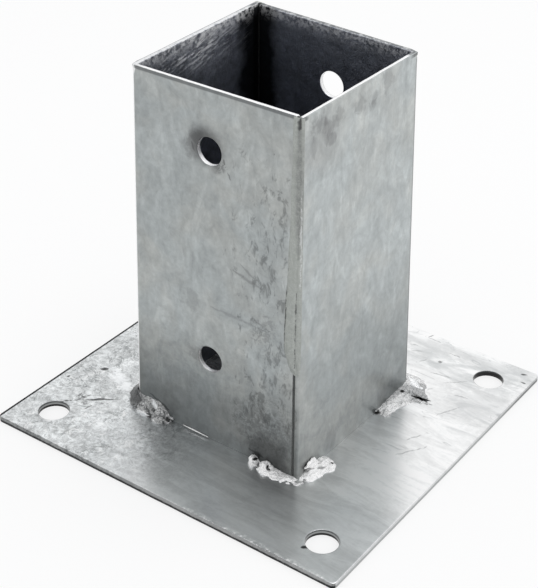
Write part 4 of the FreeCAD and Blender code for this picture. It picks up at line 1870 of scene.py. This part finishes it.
SEAM_BLEMISHES = (
    # Greenish run beside the corner, a light line along it and dashes down the middle
    MarkOrPaintedLight((36.0, -37.8, 152.0), 3.6, 0.20, 0.34, end=(36.4, -37.8, 96.0)),
    MarkOrPaintedLight((36.0, -37.8, 146.0), 2.4, 0.14, 0.34, end=(36.4, -37.8, 104.0), patchy=True),
    MarkOrPaintedLight((37.3, -37.8, 124.0), 0.8, 0.75, 0.55, end=(37.4, -37.8, 82.0), patchy=True),
    MarkOrPaintedLight((31.9, -37.6, 92.4), 0.55, 0.06, 0.8, end=(30.4, -37.6, 48.6)),
    MarkOrPaintedLight((35.9, -37.9, 84.0), 0.7, 0.10, 0.8, end=(35.4, -37.9, 50.0), patchy=True),
    MarkOrPaintedLight((36.2, -37.7, 148.4), 1.6, 0.04, 0.8, end=(36.0, -37.7, 144.0)),
)

FRONT_WELD_MARKS_AND_SHADE = (
    # Painted shade on the weld metal close to the wall
    on_weld((27.0, -35.4), 2.6, 0.22, 0.65, (34.6, -36.4)),
    # Pits in the two knobs, in the arm beside the plain wall and at the corner
    on_weld((17.8, -36.7), 1.3, 0.03, 1.0),
    on_weld((24.5, -39.0), 1.2, 0.03, 1.0, (23.7, -36.9)),
    on_weld((25.3, -39.1), 0.7, 0.05, 0.9),
    on_weld((20.8, -39.6), 1.4, 0.20, 0.8),
    on_weld((19.9, -37.6), 1.0, 0.05, 0.8, (21.6, -40.6)),
    on_weld((39.6, -27.9), 2.0, 0.20, 0.8, (41.4, -25.6)),
    on_weld((39.4, -36.1), 0.9, 0.12, 0.9),
    on_weld((42.7, -22.7), 1.2, 0.06, 0.9, (41.6, -21.6)),
    # Shadowed slit under the free tongue
    on_weld((36.0, -31.5), 1.0, 0.10, 0.9, (38.6, -28.2)),
    # Greyer metal round the very corner
    on_weld((38.8, -38.8), 2.6, 0.45, 0.7, patchy=True),
)

RIGHT_WELD_MARKS_AND_PAINTED_LIGHT = (
    # Painted shade in a band along the wall
    on_weld((36.0, 15.4), 6.0, 0.26, 0.70, (35.6, 39.0)),
    # Painted shade on the flap, with a painted highlight streak across it
    on_weld((45.6, 37.0), 9.0, 0.36, 0.80),
    on_weld((37.6, 40.6), 2.6, 1.0, 1.0, (43.4, 37.3)),
    on_weld((40.6, 42.1), 1.2, 1.0, 0.9),
    on_weld((44.6, 37.8), 1.2, 1.0, 0.9),
    # Hole at the end and pit below the bend, and painted shadow in the slit under the flap
    on_weld((39.0, 13.8), 1.5, 0.015, 1.0),
    on_weld((39.4, 31.5), 1.25, 0.01, 1.0, ragged=0.3),
    on_weld((44.0, 31.3), 1.4, 0.008, 1.0, (52.4, 32.8)),
)

LEFT_WELD_MARKS_AND_PAINTED_LIGHT = (
    # Painted shade on the smooth slope beside the bend
    on_weld((-46.6, -33.0), 8.0, 0.15, 0.90, ragged=0.2),
    on_weld((-41.0, -35.0), 3.6, 0.14, 0.80, ragged=0.2),
    # Painted highlights on a streak, the lip and the knob, and two dark hollows
    on_weld((-35.5, -31.4), 1.8, 1.0, 0.95, (-31.2, -35.2)),
    on_weld((-38.6, -40.2), 1.2, 1.0, 1.0, (-31.0, -40.2)),
    on_weld((-24.4, -35.3), 1.3, 1.0, 1.0, (-21.6, -35.9)),
    on_weld((-24.9, -36.6), 2.6, 0.02, 0.9, (-22.6, -38.6)),
    on_weld((-30.8, -40.6), 1.0, 0.02, 0.8),
)

# Fine dark scratches over the white side of the plate, from point to point
SCRATCHES: tuple[tuple[Point2, Point2], ...] = (
    ((26.5, 71.0), (36.3, 70.9)), ((50.1, 46.6), (58.2, 54.2)), ((58.3, 26.3), (63.6, 36.6)),
    ((27.2, 58.6), (32.3, 60.6)), ((33.4, 52.4), (36.2, 57.2)), ((41.6, 49.8), (51.0, 51.5)),
    ((57.7, 42.1), (63.9, 43.3)), ((56.8, 5.8), (61.0, 13.5)), ((40.0, 66.3), (47.2, 66.2)),
    ((58.5, -4.1), (66.3, 8.3)), ((25.2, 62.6), (28.0, 62.9)),
)

PLATE_MARKS_AND_SHADE = (
    # Gouge and nicks near the -X side
    on_plate((-67.4, -28.0), 1.8, 0.015, 0.95, (-64.8, -25.8)),
    on_plate((-77.8, -41.8), 0.9, 0.03, 0.9, (-77.7, -39.3)),
    on_plate((-74.8, -39.9), 0.8, 0.04, 0.9, (-73.8, -38.6)),
    # Dark cracks from the -X-Y bolt hole towards the sleeve
    on_plate((-66.3, -54.5), 1.0, 0.05, 0.9, (-59.1, -47.3), patchy=True),
    on_plate((-59.4, -47.8), 0.9, 0.05, 0.9, (-47.4, -38.7)),
    on_plate((-60.6, -46.4), 2.2, 0.08, 0.8, patchy=True),
    on_plate((-57.2, -48.6), 2.4, 0.10, 0.6, patchy=True),
    on_plate((-61.0, -47.0), 0.6, 0.06, 0.9, (-58.4, -43.0)),
    on_plate((-57.7, -46.6), 0.7, 0.07, 0.8, (-52.4, -41.4)),
    on_plate((-62.4, -47.9), 0.6, 0.10, 0.8, (-62.0, -43.6)),
    on_plate((-62.5, -43.9), 2.4, 0.10, 0.7, patchy=True),
    on_plate((-54.5, -51.8), 0.6, 0.10, 0.8, (-53.7, -48.1)),
    on_plate((-53.8, -45.7), 0.6, 0.12, 0.7, (-49.1, -43.8)),
    on_plate((-56.6, -60.2), 0.6, 0.12, 0.7, (-51.9, -55.8), patchy=True),
    on_plate((-41.9, -71.1), 0.9, 0.22, 0.6, (-27.5, -61.3), patchy=True),
    # Ragged white patches between the hole and the sleeve
    on_plate((-56.0, -28.6), 4.8, 1.0, 0.80, ragged=0.7),
    on_plate((-60.5, -24.5), 5.0, 1.0, 0.9, patchy=True),
    on_plate((-51.6, -30.0), 3.8, 1.0, 0.80, ragged=0.7),
    on_plate((-61.2, -18.2), 4.0, 1.0, 0.9, patchy=True),
    on_plate((-42.7, -55.7), 4.5, 1.0, 0.7, patchy=True),
    # Nick beside the +X-Y bolt hole
    on_plate((58.8, -65.9), 1.5, 0.02, 0.95, (61.6, -64.3)),
    # Slits near the +X+Y corner, and dark marks behind the right weld
    on_plate((69.0, 44.0), 20.0, 0.60, 0.42, ragged=0.7),
    on_plate((71.9, 70.3), 0.9, 0.05, 0.9, (74.5, 71.4)),
    on_plate((74.8, 65.6), 0.8, 0.06, 0.9, (76.9, 65.8)),
    on_plate((27.8, 71.3), 0.7, 0.15, 0.7, (29.4, 73.6)),
    on_plate((41.3, 58.3), 1.0, 0.10, 0.8),
    # Painted shadow on the plate under the right weld's torn tongue
    on_plate((44.0, 31.7), 1.5, 0.008, 1.0, (52.0, 32.9)),
    on_plate((48.6, 30.0), 0.9, 0.05, 0.9, (53.6, 31.1)),
    *(on_plate(start, 0.6, 0.30, 0.55, end) for start, end in SCRATCHES),
)


# Weld metal: bright at the front, dappled at the right, mottled and dull elsewhere
BRIGHT_ZINC = WeldZinc("weld_zinc_thread", bright=WHITE, shade=(0.74, 0.74, 0.74),
                       pit=(0.08, 0.08, 0.08), roughness=0.20, pit_cover=0.36,
                       bump_strength=0.60, shade_share=0.26, metallic=0.30)
DAPPLED_ZINC = WeldZinc("weld_zinc_right", bright=WHITE, shade=(0.50, 0.505, 0.505),
                        pit=(0.06, 0.06, 0.06), roughness=0.20, pit_cover=0.46,
                        bump_strength=0.60, shade_share=0.62, metallic=0.55,
                        marks_and_painted_light=RIGHT_WELD_MARKS_AND_PAINTED_LIGHT, mottle_size=200.0)
MOTTLED_ZINC = WeldZinc("weld_zinc_back", bright=WHITE, shade=(0.10, 0.105, 0.105),
                        pit=(0.04, 0.04, 0.04), roughness=0.30, pit_cover=0.60,
                        bump_strength=0.70, shade_share=1.0)
WELD_FINISHES = {
    "base_weld_front": replace(BRIGHT_ZINC, name="weld_zinc_front", mottle_size=170.0,
                               marks_and_painted_light=FRONT_WELD_MARKS_AND_SHADE),
    "base_weld_right": DAPPLED_ZINC,
    "base_weld_left": replace(MOTTLED_ZINC, name="weld_zinc_left", marks_and_painted_light=LEFT_WELD_MARKS_AND_PAINTED_LIGHT),
    "base_weld_back": MOTTLED_ZINC,
}

# The seam's dull bead, and the zinc in its slit painted dark as the slit's shade
SEAM_ZINC = WeldZinc("seam_zinc", bright=(0.47, 0.49, 0.47), shade=(0.30, 0.32, 0.30),
                     pit=(0.12, 0.13, 0.12), roughness=0.40, pit_cover=0.45, bump_strength=0.35,
                     marks_and_painted_light=SEAM_BLEMISHES)
SLIT_SHADE_ZINC = WeldZinc("slit_shade_zinc", bright=(0.12, 0.125, 0.122), shade=(0.07, 0.073, 0.072),
                     pit=(0.03, 0.03, 0.03), roughness=0.45, pit_cover=0.45, bump_strength=0.35)


class PostAnchor:
    """The whole anchor."""

    def build(self) -> None:
        """Build and dress every piece."""
        effects = ZincEffects()
        low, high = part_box("folded_angle_left")
        plate_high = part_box("base_plate")[1]
        left_finish = SheetZinc("sleeve_zinc_left", LEFT_SHEET_MARKS_AND_SHADE, low.z, high.z, LEFT_LEAN,
                                False).material(effects)
        right_finish = SheetZinc("sleeve_zinc_right", RIGHT_SHEET_MARKS_AND_SHADE, low.z, high.z, RIGHT_LEAN,
                                 True).material(effects)
        plate_finish = PlateZinc("plate_zinc", PLATE_MARKS_AND_SHADE, plate_high.z, plate_high.x,
                                 plate_high.y).material(effects)
        seam_finish = SEAM_ZINC.material(effects)
        slit_shade_finish = SLIT_SHADE_ZINC.material(effects)
        thread_finish = BRIGHT_ZINC.material(effects)
        finishes = {name: finish.material(effects) for name, finish in WELD_FINISHES.items()}

        dress(BasePlate().build(), plate_finish, ["base_plate"])
        left = FoldedAngle("sleeve_sheet_left", "folded_angle_left", False, LEFT_LEAN,
                           -2.1 * MM, 11.0)
        right = FoldedAngle("sleeve_sheet_right", "folded_angle_right", True, RIGHT_LEAN,
                            0.0, 23.0)
        for angle, finish in ((left, left_finish), (right, right_finish)):
            dress(angle.build(), finish, [angle.node])
        for seam in (SeamWeld("seam_bead_front", "seam_weld_front", False, 5.0),
                     SeamWeld("seam_bead_back", "seam_weld_back", True, 17.0)):
            dress(seam.build(), seam_finish, [seam.node])
            dress(seam.build_slit(plate_high.z), slit_shade_finish, [])
        for weld in (self.front_weld(), self.right_weld(), self.left_weld(), self.back_weld()):
            dress(weld.build(), finishes[weld.node], [weld.node])
        run = ZincRun("zinc_run_front", (-16.3 * MM, -37.70 * MM, 3.5 * MM),
                      (-3.9 * MM, -37.75 * MM, 3.2 * MM), 0.27 * MM, 3.0)
        dress(run.build(), thread_finish, [])

    @staticmethod
    def front_weld() -> CornerWeld:
        """The weld at the open front joint: two arms, one of which leaves the wall.

        Returns:
            The weld, ready to build.
        """
        along, turn, beside = (0.0, -1.0), (0.6, -0.8), (1.0, 0.0)
        stations = (
            *arm(along, (16.4, -37.5, 0.6, 1.4), (17.4, -37.5, 1.9, 3.2, 0.78),
                 (18.8, -37.5, 1.8, 3.9, 0.78), (20.4, -37.5, 0.4, 3.2, 0.4, 0.0),
                 (22.4, -37.5, 1.8, 4.6, 0.74), (24.8, -37.5, 1.5, 5.0, 0.66),
                 (27.4, -37.5, 0.7, 5.2, 0.42, 0.8), (31.0, -37.5, 0.4, 5.2, 0.42, 0.6),
                 (34.0, -37.5, 0.3, 4.6, 0.42, 0.45), (36.6, -37.5, 0.2, 3.5, 0.42, 0.2)),
            *arm(turn, (37.5, -37.5, 0.2, 3.5, 0.4, 0.2)),
            *arm(beside, (37.5, -36.8, 0.3, 3.0, 0.4, 0.2), (37.5, -34.8, 0.8, 4.8, 0.5, 0.8),
                 (37.5, -31.0, 1.4, 5.8, 0.6), (37.5, -27.5, 1.6, 6.4, 0.6),
                 (37.5, -25.2, 1.8, 7.8, 0.5, 1.2), (37.5, -23.6, 1.6, 7.2, 0.5, 1.2),
                 (37.5, -22.0, 1.0, 6.0, 0.5), (37.5, -20.8, 0.3, 4.2)),
        )
        lumps = (
            Lump((17.9, -38.9, 3.7), (1.5, 1.9, 1.7), 10.0),
            Lump((24.0, -39.4, 3.6), (2.1, 2.4, 1.8), -12.0),
            Lump((42.4, -24.6, 3.0), (2.2, 2.2, 1.2), 20.0),
        )
        fins = (Fin(((37.9, -34.9, 6.6), (37.9, -33.6, 7.2), (37.9, -28.3, 7.8),
                     (38.4, -27.4, 6.2), (38.8, -25.6, 3.6), (40.2, -25.4, 3.0),
                     (40.0, -29.0, 3.2), (38.4, -33.0, 5.0)), (0.8, 0.2, -0.5)),)
        return CornerWeld("weld_metal_front", "base_weld_front", stations, lumps, fins, 1.0,
                          crown=0.9, ripple=0.55 * MM, voxel=0.25 * MM)

    @staticmethod
    def right_weld() -> CornerWeld:
        """The weld at the bend at +X+Y, with a torn tongue out over the plate.

        Returns:
            The weld, ready to build.
        """
        beside, turn, behind = (1.0, 0.0), (0.8, 0.6), (0.0, 1.0)
        stations = (
            *arm(beside, (38.2, 13.2, 0.3, 1.4), (38.2, 14.0, 0.6, 4.4), (38.2, 16.2, 0.8, 5.4),
                 (38.2, 20.0, 1.3, 5.9), (38.3, 23.2, 1.7, 6.4), (38.4, 26.5, 1.9, 8.0),
                 (38.5, 30.0, 2.0, 8.4, 0.46), (38.6, 34.0, 2.2, 8.4, 0.44)),
            *arm(turn, (38.6, 37.2, 2.8, 7.6, 0.42)),
            *arm(behind, (35.0, 37.5, 3.0, 6.0), (30.0, 37.5, 2.8, 5.4, 0.45),
                 (24.0, 37.5, 2.2, 4.2), (21.5, 37.5, 0.5, 1.2)),
        )
        fins = (
            Fin(((36.8, 41.0, 4.0), (41.4, 39.3, 4.0), (46.4, 37.0, 4.0), (51.2, 32.3, 3.8),
                 (49.1, 31.5, 3.9), (45.2, 31.4, 4.2), (41.0, 33.0, 4.2)), (0.0, 0.0, -1.0)),
            Fin(((45.6, 30.2, 3.2), (52.6, 31.2, 2.9), (52.4, 30.2, 2.9), (46.4, 28.8, 3.1)),
                (0.0, 0.0, -0.8)),
        )
        lumps = (Lump((42.2, 15.8, 2.9), (1.9, 1.5, 1.0), 10.0),
                 Lump((43.4, 24.6, 2.9), (2.0, 2.2, 0.9), 30.0))
        return CornerWeld("weld_metal_right", "base_weld_right", stations, lumps, fins, 2.0,
                          crown=0.5)

    @staticmethod
    def left_weld() -> CornerWeld:
        """The steep slab at the bend at -X-Y, with a smooth slope on its -X side.

        Returns:
            The weld, ready to build.
        """
        left, turn, front = (-1.0, 0.0), (-0.76, -0.65), (0.0, -1.0)
        stations = (
            *arm(left, (-39.0, -20.0, 0.6, 1.4), (-39.1, -23.0, 5.0, 6.0),
                 (-39.3, -27.5, 9.4, 9.0, 0.46), (-39.5, -33.0, 9.8, 7.6, 0.48),
                 (-39.6, -36.6, 8.4, 4.6, 0.5)),
            *arm(turn, (-39.6, -37.5, 7.6, 1.9, 0.5)),
            *arm(front, (-38.0, -37.5, 7.2, 1.8), (-35.0, -37.5, 6.8, 2.4),
                 (-31.0, -37.5, 6.8, 3.4, 0.5), (-28.0, -37.5, 6.8, 4.4, 0.52),
                 (-25.6, -37.5, 5.0, 4.6), (-23.6, -37.5, 3.2, 3.6), (-22.0, -37.5, 1.2, 1.6)),
        )
        lumps = (
            Lump((-31.2, -38.6, 6.0), (1.1, 1.2, 2.8), 0.0, 14.0),
            Lump((-34.8, -40.0, 2.9), (3.4, 0.7, 0.7), 0.0),
            Lump((-22.2, -37.9, 4.2), (1.3, 0.7, 0.6), 0.0, 10.0),
            Lump((-26.4, -40.4, 3.0), (2.2, 1.4, 0.9), -8.0),
        )
        return CornerWeld("weld_metal_left", "base_weld_left", stations, lumps, (), 3.0,
                          crown=0.3)

    @staticmethod
    def back_weld() -> CornerWeld:
        """The hidden weld at the open back joint, laid like the others.

        Returns:
            The weld, ready to build.
        """
        left, turn, behind = (-1.0, 0.0), (-0.7, 0.7), (0.0, 1.0)
        stations = (
            *arm(left, (-37.5, 22.5, 0.6, 1.4), (-37.5, 25.5, 3.0, 3.8),
                 (-37.5, 30.5, 4.4, 5.2, 0.46), (-37.5, 35.0, 4.2, 5.0)),
            *arm(turn, (-37.5, 37.5, 3.4, 3.6, 0.45)),
            *arm(behind, (-34.0, 37.5, 4.2, 4.6), (-29.0, 37.5, 4.4, 5.2, 0.46),
                 (-25.0, 37.5, 3.0, 3.8), (-22.6, 37.5, 0.6, 1.4)),
        )
        lumps = (Lump((-40.0, 29.0, 4.4), (2.0, 2.6, 1.6)),
                 Lump((-28.0, 40.0, 4.4), (2.6, 2.0, 1.6)))
        return CornerWeld("weld_metal_back", "base_weld_back", stations, lumps, (), 4.0)


def main() -> None:
    """Build the scene."""
    logging.basicConfig(level=logging.INFO, format="%(name)s %(message)s")
    bpy.context.scene.view_settings.view_transform = "Standard"
    Studio().build()
    PostAnchor().build()


if __name__ == "__main__":
    main()
